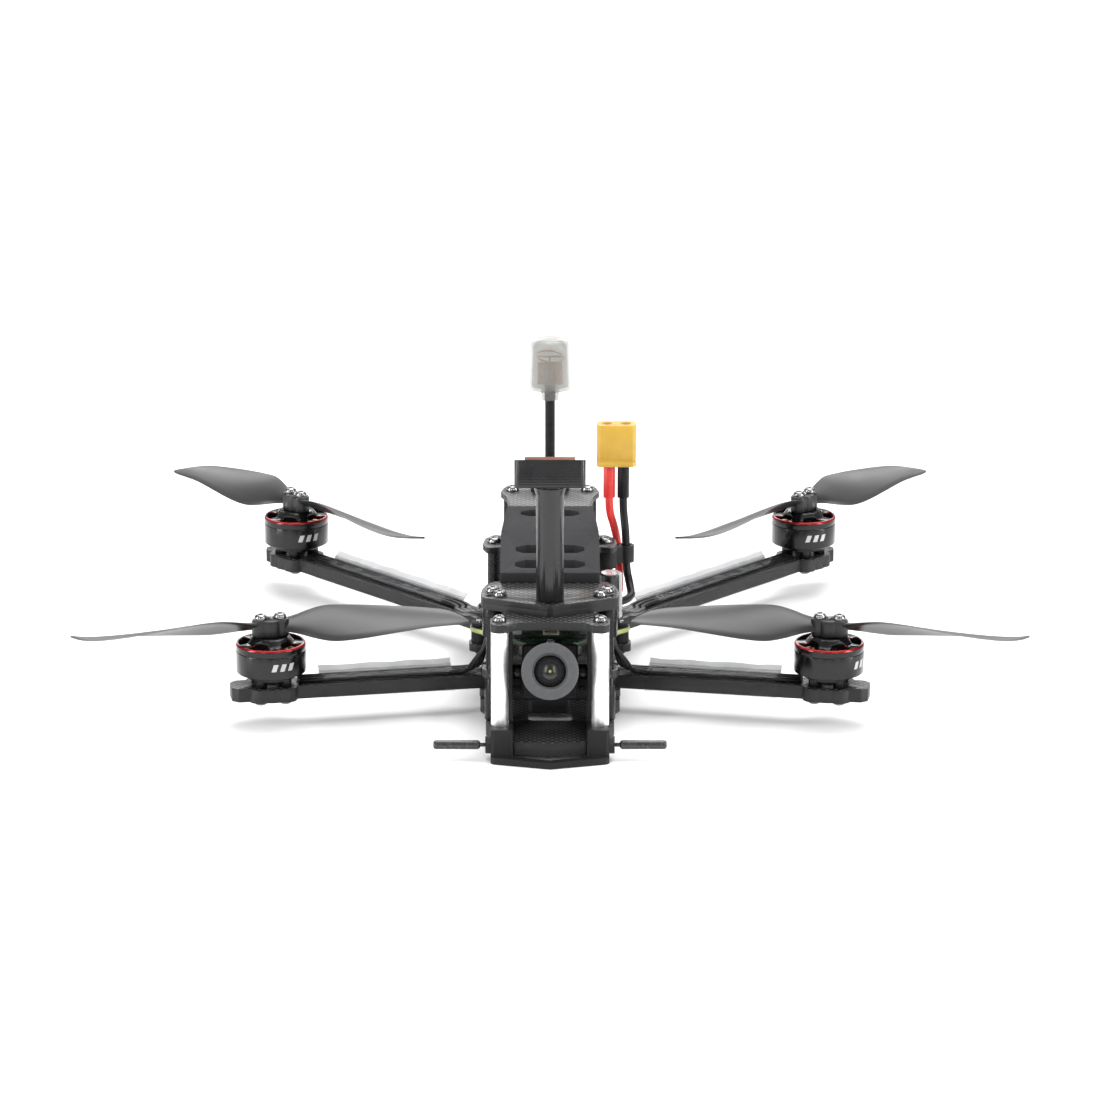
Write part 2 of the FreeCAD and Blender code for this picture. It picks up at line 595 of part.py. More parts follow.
def camera_screws():
    """Two screws through the uprights, with a washer against the camera body on each side."""
    y, z = CAMERA_PIVOT.y, CAMERA_PIVOT.z
    seat = BRACKET_IN + CARBON + 2.5 + 0.1
    screw = button_screw(V(seat, y, z), seat - 4.0, V(-1, 0, 0), height=1.4, head=1.8)
    washer = rod(BODY_HALF, y, z, 2.0, 2.3, V(1, 0, 0)).cut(rod(0, y, z, M2_R + 0.02, 20, V(1, 0, 0)))
    return pair(screw) + pair(washer)


def front_pillars():
    pillar = rod(*PILLAR, LOWER_Z, 2.2, CAMERA_PLATE_Z - LOWER_Z)
    bores = [rod(*PILLAR, LOWER_Z - 1, M2_R + 0.02, 8), rod(*PILLAR, CAMERA_PLATE_Z - 7, M2_R + 0.02, 8)]
    return pair(cut_all(pillar, bores))


# ---- columns, spacers and screws ------------------------------------------------------------

def knurled_column(x, y, z, height):
    """Round standoff with knurling grooves, bored at both ends."""
    radius = 1.8
    column = rod(x, y, z, radius, height)
    count = max(3, int(height / 1.4))
    for i in range(1, count):
        level = z + height * i / count
        ring = rod(x, y, level - 0.14, radius + 1, 0.28).cut(rod(x, y, level - 1, radius - 0.14, 2))
        column = column.cut(ring)
    depth = min(7, height / 2 + 1)
    bores = [rod(x, y, z - 1, M2_R + 0.02, depth + 1), rod(x, y, z + height - depth, M2_R + 0.02, depth + 1)]
    return cut_all(column, bores)


def knurled_columns():
    solids = []
    for x, y, low, high in ((*FRONT_COLUMN, STACK_TOP, SLEEVE_Z), (*MID_COLUMN, STACK_TOP, TOP_Z)):
        solids += pair(knurled_column(x, y, low, high - low))
    return solids


def plain_tube(point, radius, low, high):
    tube_body = rod(*point, low, radius, high - low)
    return pair(tube_body.cut(rod(*point, low - 1, M2_R + FIT, high - low + 2)))


def plate_spacers():
    """Plain tubes between plates: stack spacers, front sleeves and the rear columns."""
    solids = plain_tube(FRONT_COLUMN, 2.2, LOWER_Z, STACK_Z)
    solids += plain_tube(MID_COLUMN, 2.2, MID_TOP, STACK_Z)
    solids += plain_tube(FRONT_COLUMN, 2.7, SLEEVE_Z, FRONT_PLATE_Z)
    solids += plain_tube(REAR_COLUMN, 2.6, ARM_Z, MID_Z)
    solids += plain_tube(REAR_COLUMN, 2.5, MID_TOP, TOP_Z)
    return solids


def frame_screws():
    """Deck screws from above; arm bolts, column screws and the mast's screw from below."""
    solids = []
    for point, z, length in ((FRONT_COLUMN, DECK, 15.4), (FRONT_SCREW, DECK, 3.0), (MID_COLUMN, DECK, 6.0),
                             (REAR_COLUMN, DECK, 6.0), (PILLAR, FRONT_PLATE_Z, 6.5)):
        solids += pair(button_screw(V(*point, z), length))
    for point, z, length in ((PILLAR, BOTTOM_Z, 8.5), (FRONT_COLUMN, BOTTOM_Z, 20.0), (REAR_COLUMN, BOTTOM_Z, 15.5)):
        solids += pair(button_screw(V(*point, z), length, UP, height=FOOT))
    solids += pair(button_screw(V(*MID_COLUMN, MID_Z), 12.4, UP))
    for point in FRONT_ARM_HOLES + REAR_ARM_HOLES:
        solids += pair(button_screw(V(*point, BOTTOM_Z), MID_TOP + 1.5 - BOTTOM_Z, UP, height=FOOT))
        solids += pair(nut(*point, MID_TOP))
    for x, y in board_holes():
        solids.append(button_screw(V(x, y, STACK_Z), BOARD_TOP + 1.5 - STACK_Z, UP, height=1.2))
    solids.append(button_screw(V(0, MAST_Y, CAMERA_PLATE_Z), 12.0, UP, M3_R, 2.8, 1.65))
    return solids


def motor_screws():
    solids = []
    for spec, motor_y in ((FRONT_ARM, -MOTOR_Y), (REAR_ARM, MOTOR_Y)):
        for x, y in mount_points():
            screw = button_screw(V(x, y, ARM_Z), 6.0, UP, height=1.1)
            solids += pair(in_place(screw, motor_y, spec["turn"]))
    return solids


# ---- bumper, receiver antenna ---------------------------------------------------------------

def bumper():
    """Printed front guard: a block round the foot of each pillar, joined by a low pointed lip."""
    post = slab([(9.3, -92.6, 0.5), (14.9, -92.6, 1.0), (14.9, -85.2, 1.0), (9.3, -85.2, 0.5)], 0.3, 8.2)
    lug = rod(13.6, -90.0, 3.9, 2.2, 2.6, V(1, 0, 0))
    half = [(0, -98.0, 0), (14.9, -93.9, 1.8), (14.9, -89.0, 0.6), (11.2, -89.0, 0.6), (10.6, -92.6, 0.6),
            (0, -95.7, 0)]
    lip = slab(whole_outline(half), 0, 1.7)
    body = fused(pair(post.fuse(lug)) + [lip])
    nose = [(0, -92.4, 0), (9.02, -91.1, 1), (14.7, -88.55, 1.5), (15.0, -78, 3), (0, -78, 0)]
    body = body.cut(slab(whole_outline(nose), BOTTOM_Z - 0.03, FLOOR + 0.06))
    bores = [rod(x, y, LOWER_Z - 0.5, 2.25, 9) for x, y in both([PILLAR])]
    heads = [rod(x, y, -1, 2.1, BOTTOM_Z + 1.2) for x, y in both([PILLAR])]
    ducts = [rod(s * 14.95, -90.0, 3.9, 0.55, 4.0, V(s, 0, 0)) for s in (1, -1)]
    return cut_all(body, bores + heads + ducts)


def receiver_antenna():
    """Dipole whose two capsules stand out of the bumper on thin necks."""
    neck = rod(15.0, -90.0, 3.9, 0.5, 2.8, V(1, 0, 0))
    capsule = rod(17.5, -90.0, 3.9, 1.15, 11.8, V(1, 0, 0))
    capsule = capsule.makeFillet(0.7, [e for e in capsule.Edges if isinstance(e.Curve, Part.Circle)])
    return pair(fused([neck, capsule]))


# ---- electronics ----------------------------------------------------------------------------

def board_holes():
    return [(BOARD_REACH, BOARD_Y), (-BOARD_REACH, BOARD_Y), (0, BOARD_Y - BOARD_REACH),
            (0, BOARD_Y + BOARD_REACH)]


def flight_controller():
    """Square board turned by 45 degrees, its rounded corners out beyond the frame."""
    half = 30.9 / math.sqrt(2)
    square = [(half, BOARD_Y, 3), (0, BOARD_Y + half, 3), (-half, BOARD_Y, 3), (0, BOARD_Y - half, 3)]
    return cut_all(slab(square, BOARD_Z, PCB), holes(board_holes(), BOARD_Z, PCB, 1.5))


VIDEO_POSTS = [(x, y) for x in (7.4, -7.4) for y in (-60.4, -52.4)]


def board_parts():
    """Chips, connectors and power stages on the two boards."""
    top = BOARD_TOP
    solids = [block(-3.5, 3.5, BOARD_Y - 3.5, BOARD_Y + 3.5, top, top + 0.9),
              block(-1.8, 1.8, BOARD_Y + 6, BOARD_Y + 9.6, top, top + 0.8),
              block(-4.5, 4.5, BOARD_Y - 9.8, BOARD_Y - 5.2, BOARD_Z - 2.0, BOARD_Z),
              block(-3.2, 3.2, BOARD_Y + 4.4, BOARD_Y + 10.0, BOARD_Z - 1.6, BOARD_Z),
              block(-12.4, -9.2, BOARD_Y - 1.4, BOARD_Y + 1.4, top, top + 0.8),
              block(9.2, 11.4, BOARD_Y - 1.4, BOARD_Y + 1.4, top, top + 0.8)]
    lid = VIDEO_Z + 1.0
    socket = block(-1.8, 2.3, -71.0, -67.8, lid, lid + 2.2)
    solids.append(socket.cut(block(-1.3, 1.8, -72, -68.6, lid + 0.4, lid + 1.8)))
    solids += [block(-5.2, 5.2, -65.6, -54.6, lid, lid + 1.5), rod(7.4, -66.0, lid, 1.2, 1.2),
               block(4.6, 7.4, -70.6, -68.6, lid, lid + 0.9), block(-7.2, -4.0, -70.6, -68.6, lid, lid + 1.1)]
    return solids


def board_grommets():
    """Soft collars that hold the flight controller, and the posts of the video board."""
    solids = []
    for x, y in board_holes():
        lower = rod(x, y, STACK_TOP, 2.3, BOARD_Z - STACK_TOP)
        neck = rod(x, y, BOARD_Z, 1.45, PCB)
        upper = rod(x, y, BOARD_TOP, 2.2, 1.0)
        solids.append(fused([lower, neck, upper]).cut(rod(x, y, STACK_Z, M2_R + 0.03, 10)))
    return solids + [rod(x, y, BOARD_TOP, 1.5, VIDEO_Z - BOARD_TOP) for x, y in VIDEO_POSTS]


def video_board():
    outline = [(9.5, -71, 1), (9.5, -50, 1), (-9.5, -50, 1), (-9.5, -71, 1)]
    return slab(outline, VIDEO_Z, 1.0)


CAPACITOR = (15.6, -51.0)


def capacitor():
    """Electrolytic can that stands over the flight controller on its two leads."""
    low, high, radius = 25.5, 37.5, 3.0
    can = rod(*CAPACITOR, low, radius, high - low)
    can = can.makeFillet(0.5, [e for e in can.Edges if isinstance(e.Curve, Part.Circle)])
    can = can.cut(Part.makeTorus(radius + 0.12, 0.32, V(*CAPACITOR, low + 1.7), UP))
    return fused([can] + [rod(x, y, BOARD_TOP, 0.3, low + 1 - BOARD_TOP) for x, y in ((14.0, -51.2), (15.2, -53.2))])


# ---- positioning mast and its receiver ------------------------------------------------------

GPS_TILT = 15.0
GPS_PIVOT = V(0, -84.0, 68.95)
GPS_HALF = 8.9
GPS_DEEP = 17.8
GPS_TALL = 7.0


def leaning(shape):
    shape = shape.copy()
    shape.rotate(GPS_PIVOT, V(1, 0, 0), -GPS_TILT)
    return shape


def gps_mast():
    """Printed column with a flared head under an open tray, which leans back."""
    y0, z0 = GPS_PIVOT.y, GPS_PIVOT.z
    outline = [(GPS_HALF, y0, 1.3), (GPS_HALF, y0 + GPS_DEEP, 1.3), (-GPS_HALF, y0 + GPS_DEEP, 1.3),
               (-GPS_HALF, y0, 1.3)]
    tray = leaning(slab(outline, z0, GPS_TALL))
    wall = 1.1
    room = leaning(block(-GPS_HALF + wall, GPS_HALF - wall, y0 + wall, y0 + GPS_DEEP - wall, z0 + 1.4,
                         z0 + GPS_TALL + 1))
    column = rod(0, MAST_Y, DECK, 3.5, 32.0)
    flare = Part.makeCone(3.5, 4.2, 2.2, V(0, MAST_Y, z0 - 2.8), UP)
    above = leaning(block(-20, 20, y0 - 20, y0 + 40, z0 + 0.6, z0 + 30))
    stem = fused([column, flare]).cut(above)
    mast = fused([tray, stem]).cut(room)
    return mast.cut(rod(0, MAST_Y, DECK - 1, M3_R + 0.02, 8.6))


def gps_module():
    """Receiver board with its shield can below and the ceramic patch on top."""
    y0, z0 = GPS_PIVOT.y, GPS_PIVOT.z
    gap = 1.25
    board = block(-GPS_HALF + gap, GPS_HALF - gap, y0 + gap, y0 + GPS_DEEP - gap, z0 + 3.0, z0 + 3.9)
    can = block(-6.2, 6.2, y0 + 2.8, y0 + GPS_DEEP - 2.8, z0 + 1.5, z0 + 3.0)
    patch = block(-6.3, 6.3, y0 + 2.6, y0 + GPS_DEEP - 2.6, z0 + 3.9, z0 + GPS_TALL + 0.75)
    return [leaning(board), leaning(can), leaning(patch)]


# ---- video antenna --------------------------------------------------------------------------

STEM_R = 1.35
CAP_Z = 66.8
CAP_TOP = 80.7


def antenna_stem():
    """Coaxial stem from under the tail up into the antenna's cap, with a ferrule at its top."""
    stem = rod(0, ANTENNA_Y, 33.0, STEM_R, CAP_Z - 3.4 - 33.0)
    return fused([stem, rod(0, ANTENNA_Y, CAP_Z - 3.4, 1.5, 4.4)])


def antenna_holder():
    """Printed block on the tail that grips the stem."""
    foot = slab([(5.2, 22.4, 1.2), (5.2, 29.2, 1.2), (-5.2, 29.2, 1.2), (-5.2, 22.4, 1.2)], DECK, 1.6)
    body = foot.fuse(rod(0, ANTENNA_Y, DECK, 2.15, 6.0)).removeSplitter()
    return body.cut(rod(0, ANTENNA_Y, DECK - 1, STEM_R + 0.04, 9))


def bulb(grow):
    radius = 5.7 + grow
    body = Part.makeCone(radius, radius - 0.4, CAP_TOP - CAP_Z + 2 * grow, V(0, ANTENNA_Y, CAP_Z - grow), UP)
    crown = [e for e in body.Edges if isinstance(e.Curve, Part.Circle) and e.CenterOfMass.z > CAP_Z + 5]
    return body.makeFillet(2.4, crown)


def antenna_cap():
    """Thin clear cap: domed cylinder on a short neck, hollow inside."""
    neck = rod(0, ANTENNA_Y, CAP_Z - 3.1, 2.45, 3.6)
    shell = fused([bulb(0.0), neck]).cut(bulb(-0.7))
    return shell.cut(rod(0, ANTENNA_Y, CAP_Z - 5, 1.52, 6.0))


def antenna_element():
    """Radiator inside the cap: a small board on the ferrule and a wire lobe above it."""
    board = block(-3.4, 3.4, ANTENNA_Y - 0.25, ANTENNA_Y + 0.25, CAP_Z + 1.0, CAP_Z + 7.2)
    post = rod(0, ANTENNA_Y, CAP_Z + 7.0, 0.3, 1.9)
    lobe = Part.makeTorus(3.6, 0.3, V(0, ANTENNA_Y, CAP_Z + 8.8), V(0.12, -0.2, 1))
    spoke = rod(-3.6, ANTENNA_Y, CAP_Z + 8.8, 0.28, 7.2, V(1, 0, 0))
    return fused([board, post, lobe, spoke])


# ---- battery lead ---------------------------------------------------------------------------
# Both conductors rise from the flight controller to the connector; the clip holds the black one.

LEAD_R = 1.05
RED_ROUTE = [V(15.55, -20, 49), V(15.55, -20, 45.2), V(16.9, -19.1, 41), V(17.9, -18.7, 36),
             V(18.1, -19.4, 31), V(18.4, -23, 26.6), V(18.0, -29, 24.8), V(13.6, -34.2, 24.4),
             V(9.4, -37.8, 24.1)]
BLACK_ROUTE = [V(19.25, -20, 49), V(19.25, -20, 45.2), V(20, -22, 39.6), V(20, -22.05, 30.6),
               V(21.2, -25.5, 25.8), V(21.4, -31.2, 24.6), V(16.6, -36.8, 24.9), V(12.0, -40.2, 24.3)]
SHRINK_Z = 49.0
SHRINK_R = 1.55
PLUG_Z = 57.8
PLUG_X = 17.4
LEAD_Y = -20.0


def report_bends(name, points, solid):
    """Print each bend's radius, and the volume over section times length."""
    length = 0.0
    for before, here, after in zip(points, points[1:], points[2:]):
        back = before - here
        ahead = after - here
        reach = 0.45 * min(back.Length, ahead.Length)
        half = back.getAngle(ahead) / 2
        radius = reach * math.tan(half)
        length += radius * (math.pi - 2 * half) - 2 * reach
        print(name, "run %.2f" % back.Length, "bend radius %.2f" % radius)
    length += sum((b - a).Length for a, b in zip(points, points[1:]))
    print(name, "length %.2f" % length, "volume ratio %.4f" % (solid.Volume / (math.pi * LEAD_R ** 2 * length)))


def shrink(x):
    return rod(x, LEAD_Y, SHRINK_Z, SHRINK_R, PLUG_Z - SHRINK_Z + 0.7)


def plug_part(half_x, half_y, z, height, chamfer):
    a, b, c = half_x, half_y, chamfer
    corners = [(a - c, -b), (a, -b + c), (a, b - c), (a - c, b), (-a + c, b), (-a, b - c), (-a, -b + c),
               (-a + c, -b)]
    return slab([(PLUG_X + x, LEAD_Y + y, 0.25) for x, y in corners], z, height)


def power_connector():
    """Two-pole plug with chamfered corners and a waist groove, and its two contacts."""
    shell = fused([plug_part(5.15, 2.6, PLUG_Z + 2.1, 9.1, 0.9), plug_part(4.85, 2.35, PLUG_Z + 1.4, 0.8, 0.8),
                   plug_part(5.15, 2.6, PLUG_Z, 1.5, 0.9)])
    top = PLUG_Z + 11.2
    shell = cut_all(shell, [rod(PLUG_X + s * 2.5, LEAD_Y, top - 6.5, 1.35, 7) for s in (1, -1)])
    shell = cut_all(shell, [rod(x, LEAD_Y, PLUG_Z - 1, SHRINK_R + 0.02, 1.7) for x in (15.55, 19.25)])
    pins = [rod(PLUG_X + s * 2.5, LEAD_Y, top - 6.5, 1.3, 5.6).cut(rod(PLUG_X + s * 2.5, LEAD_Y, top - 5.5, 0.95, 7))
            for s in (1, -1)]
    return [shell] + pins


def lead_clip():
    """Printed collar on the +X mid column whose arm ends in a loop for the black conductor."""
    low, tall = 32.0, 4.6
    start, end = V(*MID_COLUMN, low), V(20.0, -22.02, low)
    reach = (end - start).Length
    bar = block(0, reach, -0.9, 0.9, 0, tall)
    bar.rotate(V(0, 0, 0), UP, math.degrees(math.atan2(end.y - start.y, end.x - start.x)))
    bar.translate(start)
    body = fused([rod(*MID_COLUMN, low, 3.0, tall), bar, rod(end.x, end.y, low, 2.15, tall)])
    return body.cut(rod(*MID_COLUMN, low - 1, 1.85, tall + 2)).cut(rod(end.x, end.y, low - 1, 1.35, tall + 2))


# ---- write the nodes ------------------------------------------------------------------------

def write_frame():
    for node, shape in (("bottom_plate", bottom_plate()), ("lower_plate", lower_plate()),
                        ("mid_plate", mid_plate()), ("stack_plate", stack_plate()),
                        ("camera_plate", camera_plate()), ("front_plate", front_plate()),
                        ("top_plate", top_plate()), ("battery_pad", battery_pad()), ("bumper", bumper())):
        save(node, shape)
    front = arm(FRONT_ARM, FRONT_ARM_HOLES, -MOTOR_Y)
    rear = arm(REAR_ARM, REAR_ARM_HOLES, MOTOR_Y)
    upright = camera_side()
    for node, shape in (("arm_front_right", front), ("arm_front_left", mirrored(front)),
                        ("arm_rear_right", rear), ("arm_rear_left", mirrored(rear)),
                        ("camera_side_left", upright), ("camera_side_right", mirrored(upright))):
        save(node, shape)
    save("front_pillars", *front_pillars())
    save("knurled_columns", *knurled_columns())
    save("plate_spacers", *plate_spacers())
    save("frame_screws", *frame_screws())
    save("motor_screws", *motor_screws())


def write_electronics():
    save("receiver_antenna", *receiver_antenna())
    save("flight_controller", flight_controller())
    save("board_parts", *board_parts())
    save("board_grommets", *board_grommets())
    save("video_board", video_board())
    save("capacitor", capacitor())
    save("gps_mast", gps_mast())
    save("gps_module", *gps_module())
    save("antenna_stem", antenna_stem())
    save("antenna_holder", antenna_holder())
    save("antenna_cap", antenna_cap())
    save("antenna_element", antenna_element())
    save("lead_clip", lead_clip())
    for node, route in (("lead_red", RED_ROUTE), ("lead_black", BLACK_ROUTE)):
        lead = tube(route, LEAD_R)
        save(node, lead)
        report_bends(node, route, lead)
    save("shrink_red", shrink(15.55))
    save("shrink_black", shrink(19.25))
    save("power_connector", *power_connector())


def write_camera():
    save("camera_housing", camera_housing())
    save("camera_ring", camera_ring())
    save("camera_lens", camera_lens())
    save("camera_screws", *camera_screws())


def write_motors():
    base, wound, races = motor_base(), stator(), bearings()
    bases, stators, rings, wires, sleeves = [], [], [], [], []
    for spec, motor_y, run in ((FRONT_ARM, -MOTOR_Y, FRONT_RUN), (REAR_ARM, MOTOR_Y, REAR_RUN)):
        bases += pair(in_place(base, motor_y, spec["turn"]))
        stators += pair(in_place(wound, motor_y, spec["turn"]))
        for race in races:
            rings += pair(in_place(race, motor_y, spec["turn"]))
        for wire in arm_wires(spec, motor_y, run):
            wires += pair(wire)
        sleeves += pair(arm_sleeve(spec, motor_y))
    for node, solids in (("motor_bases", bases), ("stators", stators), ("bearings", rings),
                         ("motor_wires", wires), ("wire_sleeves", sleeves)):
        save(node, *solids)
    can, steel, blades = bell(), shaft_and_screws(), propeller()
    clockwise = blades.mirror(V(0, 0, 0), V(0, 1, 0))
    for corner, side, motor_y, turn, turner in (
            ("front_right", -1, -MOTOR_Y, 14.7, blades), ("front_left", 1, -MOTOR_Y, -14.7, clockwise),
            ("rear_right", -1, MOTOR_Y, -51.0, clockwise), ("rear_left", 1, MOTOR_Y, 51.0, blades)):
        x = side * MOTOR_X
        save("bell_" + corner, *placed([can], x, motor_y, turn))
        save("propeller_" + corner, *placed([turner], x, motor_y, turn))
        save("rotor_fasteners_" + corner, *placed(steel, x, motor_y, turn))


write_frame()
write_electronics()
write_camera()
write_motors()
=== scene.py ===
import bpy
import math
from mathutils import Matrix, Vector


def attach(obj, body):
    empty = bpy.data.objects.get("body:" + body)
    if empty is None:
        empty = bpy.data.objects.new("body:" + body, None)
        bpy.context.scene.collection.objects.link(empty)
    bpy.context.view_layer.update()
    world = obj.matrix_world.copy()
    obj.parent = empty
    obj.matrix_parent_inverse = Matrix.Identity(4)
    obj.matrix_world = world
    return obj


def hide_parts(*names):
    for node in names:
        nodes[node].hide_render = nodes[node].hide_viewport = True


# Camera quadcopter on a pale floor. Metres, in the CAD frame: +Z up, the nose along -Y.

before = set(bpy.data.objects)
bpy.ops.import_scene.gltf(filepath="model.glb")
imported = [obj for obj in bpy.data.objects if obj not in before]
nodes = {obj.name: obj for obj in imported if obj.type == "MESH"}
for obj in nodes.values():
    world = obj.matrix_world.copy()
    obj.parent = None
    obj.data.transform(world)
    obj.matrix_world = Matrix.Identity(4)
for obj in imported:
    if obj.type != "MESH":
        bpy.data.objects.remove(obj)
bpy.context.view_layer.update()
MM = 0.001


def mm(*values):
    return Vector(v * MM for v in values)


# ---- camera ---------------------------------------------------------------------------------

LENS_LENGTH = 146.8
SENSOR_WIDTH = 36.0
CAMERA_PLACE = (0.0, -1.1569, 0.36265)
CAMERA_PITCH = 73.9

camera_data = bpy.data.cameras.new("camera")
camera_data.lens = LENS_LENGTH
camera_data.sensor_width = SENSOR_WIDTH
camera_data.clip_start = 0.01
camera_data.clip_end = 50.0
camera = bpy.data.objects.new("camera", camera_data)
camera.location = CAMERA_PLACE
camera.rotation_euler = (math.radians(CAMERA_PITCH), 0.0, 0.0)
bpy.context.scene.collection.objects.link(camera)
bpy.context.scene.camera = camera

# ---- battery leads --------------------------------------------------------------------------

LEAD_DIAMETER = 2.1 * MM
RED_ROUTE = ((9.4, -37.8, 24.1), (13.6, -34.2, 24.4), (18.0, -29.0, 24.8), (18.4, -23.0, 26.6),
             (18.1, -19.4, 31.0), (17.9, -18.7, 36.0), (16.9, -19.1, 41.0), (15.55, -20.0, 45.2),
             (15.55, -20.0, 49.0))
BLACK_ROUTE = ((12.0, -40.2, 24.3), (16.6, -36.8, 24.9), (21.4, -31.2, 24.6), (21.2, -25.5, 25.8),
               (20.0, -22.05, 30.6), (20.0, -22.0, 39.6), (19.25, -20.0, 45.2), (19.25, -20.0, 49.0))


def lead(name, route):
    """One free lead. Its points carry its radius, so that the curve's bound box is true."""
    curve = bpy.data.curves.new(name, "CURVE")
    curve.dimensions = "3D"
    curve.resolution_u = 16
    curve.bevel_depth = 1.0
    curve.bevel_resolution = 6
    curve.use_fill_caps = True
    spline = curve.splines.new("NURBS")
    spline.points.add(len(route) - 1)
    for point, place in zip(spline.points, route):
        point.co = (*mm(*place), 1.0)
        point.radius = LEAD_DIAMETER / 2
    spline.order_u = 3
    spline.use_endpoint_u = True
    piece = bpy.data.objects.new(name, curve)
    bpy.context.scene.collection.objects.link(piece)
    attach(piece, "frame")
    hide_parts(name)
    return piece


red_lead = lead("lead_red", RED_ROUTE)
black_lead = lead("lead_black", BLACK_ROUTE)
red_lead.name = "silicone_lead_red"
black_lead.name = "silicone_lead_black"

# ---- node helpers ---------------------------------------------------------------------------


class Nodes:
    """Short hand for building one material's node tree."""

    def __init__(self, name):
        self.material = bpy.data.materials.new(name)
        self.material.use_nodes = True
        self.tree = self.material.node_tree
        self.shader = self.tree.nodes["Principled BSDF"]
        self.place = self.add("ShaderNodeTexCoord").outputs["Object"]

    def add(self, kind, **settings):
        node = self.tree.nodes.new(kind)
        for key, value in settings.items():
            setattr(node, key, value)
        return node

    def link(self, source, socket):
        if isinstance(source, (int, float, tuple)):
            socket.default_value = source
        else:
            self.tree.links.new(source, socket)

    def math(self, operation, *inputs):
        node = self.add("ShaderNodeMath", operation=operation)
        for socket, source in zip(node.inputs, inputs):
            self.link(source, socket)
        return node.outputs[0]

    def vector(self, operation, *inputs):
        node = self.add("ShaderNodeVectorMath", operation=operation)
        for socket, source in zip(node.inputs, inputs):
            self.link(source, socket)
        return node

    def split(self, vector):
        node = self.add("ShaderNodeSeparateXYZ")
        self.link(vector, node.inputs[0])
        return node.outputs

    def noise(self, scale, detail=3.0, where=None):
        node = self.add("ShaderNodeTexNoise")
        node.inputs["Scale"].default_value = scale
        node.inputs["Detail"].default_value = detail
        self.link(where or self.place, node.inputs["Vector"])
        return node.outputs["Fac"]

    def mix(self, factor, low, high):
        node = self.add("ShaderNodeMix", data_type="RGBA")
        self.link(factor, node.inputs[0])
        self.link(low, node.inputs[6])
        self.link(high, node.inputs[7])
        return node.outputs[2]

    def choose(self, factor, low, high):
        """Mix of two numbers."""
        node = self.add("ShaderNodeMix", data_type="FLOAT")
        for socket, source in zip(node.inputs[:1] + node.inputs[2:4], (factor, low, high)):
            self.link(source, socket)
        return node.outputs[0]

    def ramp(self, where, stops):
        """Colour at a place from 0 to 1 along a row of (position, colour) stops."""
        node = self.add("ShaderNodeValToRGB")
        self.link(where, node.inputs[0])
        elements = node.color_ramp.elements
        for i, (position, colour) in enumerate(stops):
            stop = elements[i] if i < 2 else elements.new(position)
            stop.position = position
            stop.color = colour
        return node.outputs[0]

    def spread(self, value, low, high, start=0.3, stop=0.7):
        node = self.add("ShaderNodeMapRange")
        for socket, source in zip(node.inputs, (value, start, stop, low, high)):
            self.link(source, socket)
        return node.outputs[0]

    def bump(self, height, distance, strength=1.0, after=None):
        node = self.add("ShaderNodeBump")
        node.inputs["Strength"].default_value = strength
        node.inputs["Distance"].default_value = distance
        self.link(height, node.inputs["Height"])
        if after is not None:
            self.link(after, node.inputs["Normal"])
        return node.outputs[0]

    def normal_axes(self):
        return self.split(self.add("ShaderNodeNewGeometry").outputs["Normal"])

    def from_centre(self, x, y, z=0.0):
        """The shaded place as seen from a centre in millimetres."""
        return self.vector("SUBTRACT", self.place, (x * MM, y * MM, z * MM)).outputs[0]

    def radius(self, x, y):
        squares = self.math("ADD", self.math("MULTIPLY", x, x), self.math("MULTIPLY", y, y))
        return self.math("SQRT", squares)

    def set(self, **sockets):
        for name, value in sockets.items():
            self.link(value, self.shader.inputs[name.replace("_", " ")])


def grey(value):
    return (value, value, value * 1.02, 1.0)


def moulded(name, colour, rough, metal=0.0, vary=0.2, grain=1800.0, depth=0.012, **sockets):
    """Plain material with fine colour variation, uneven polish and a slight surface grain."""
    m = Nodes(name)
    cloud = m.noise(grain * 0.25, 4.0)
    fine = m.noise(grain, 5.0)
    dark = tuple(c * (1 - vary) for c in colour) + (1.0,)
    light = tuple(min(1.0, c * (1 + vary)) for c in colour) + (1.0,)
    m.set(Base_Color=m.mix(m.spread(cloud, 0.0, 1.0), dark, light),
          Roughness=m.spread(fine, max(0.02, rough - 0.07), min(1.0, rough + 0.09)),
          Normal=m.bump(fine, depth * MM), Metallic=metal)
    m.set(**sockets)
    return m.material


def layered(name, colour, rough, pitch=0.24, depth=0.03, tray_from=None, grain=0.003, shine=0.25):
    """Printed plastic: fine layers with a slight wobble, stacked along X below tray_from, with painted
    shade in each layer's groove and painted light on its crest.
    """
    m = Nodes(name)
    x, _, height = m.split(m.place)
    if tray_from is not None:
        height = m.choose(m.math("GREATER_THAN", height, tray_from * MM), x, height)
    wobble = m.math("MULTIPLY", m.noise(160.0, 2.0), 0.35)
    phase = m.math("MULTIPLY", height, 2 * math.pi / (pitch * MM))
    wave = m.math("SINE", m.math("ADD", phase, wobble))
    # Painted shade: the colour darkens in the groove between layers and lightens on each crest, following
    # the same wave as the bump.
    painted_groove_shade = m.spread(wave, 0.0, 1.0, -1.0, 0.4)
    dark = tuple(c * 0.7 for c in colour) + (1.0,)
    light = tuple(c * 1.15 for c in colour) + (1.0,)
    surface = m.bump(wave, depth * MM)
    if grain:
        uneven = m.noise(2600.0, 4.0)
        surface = m.bump(uneven, grain * MM, after=surface)
    else:
        uneven = m.noise(140.0, 2.0)
    m.set(Base_Color=m.mix(painted_groove_shade, dark, light), Normal=surface, Specular_IOR_Level=shine,
          Roughness=m.spread(uneven, rough - 0.06, rough + 0.06))
    return m.material


TOW = 1.1
PLY = 0.27
ACROSS_FIBRES = 22000.0
ALONG_FIBRES = 1800.0


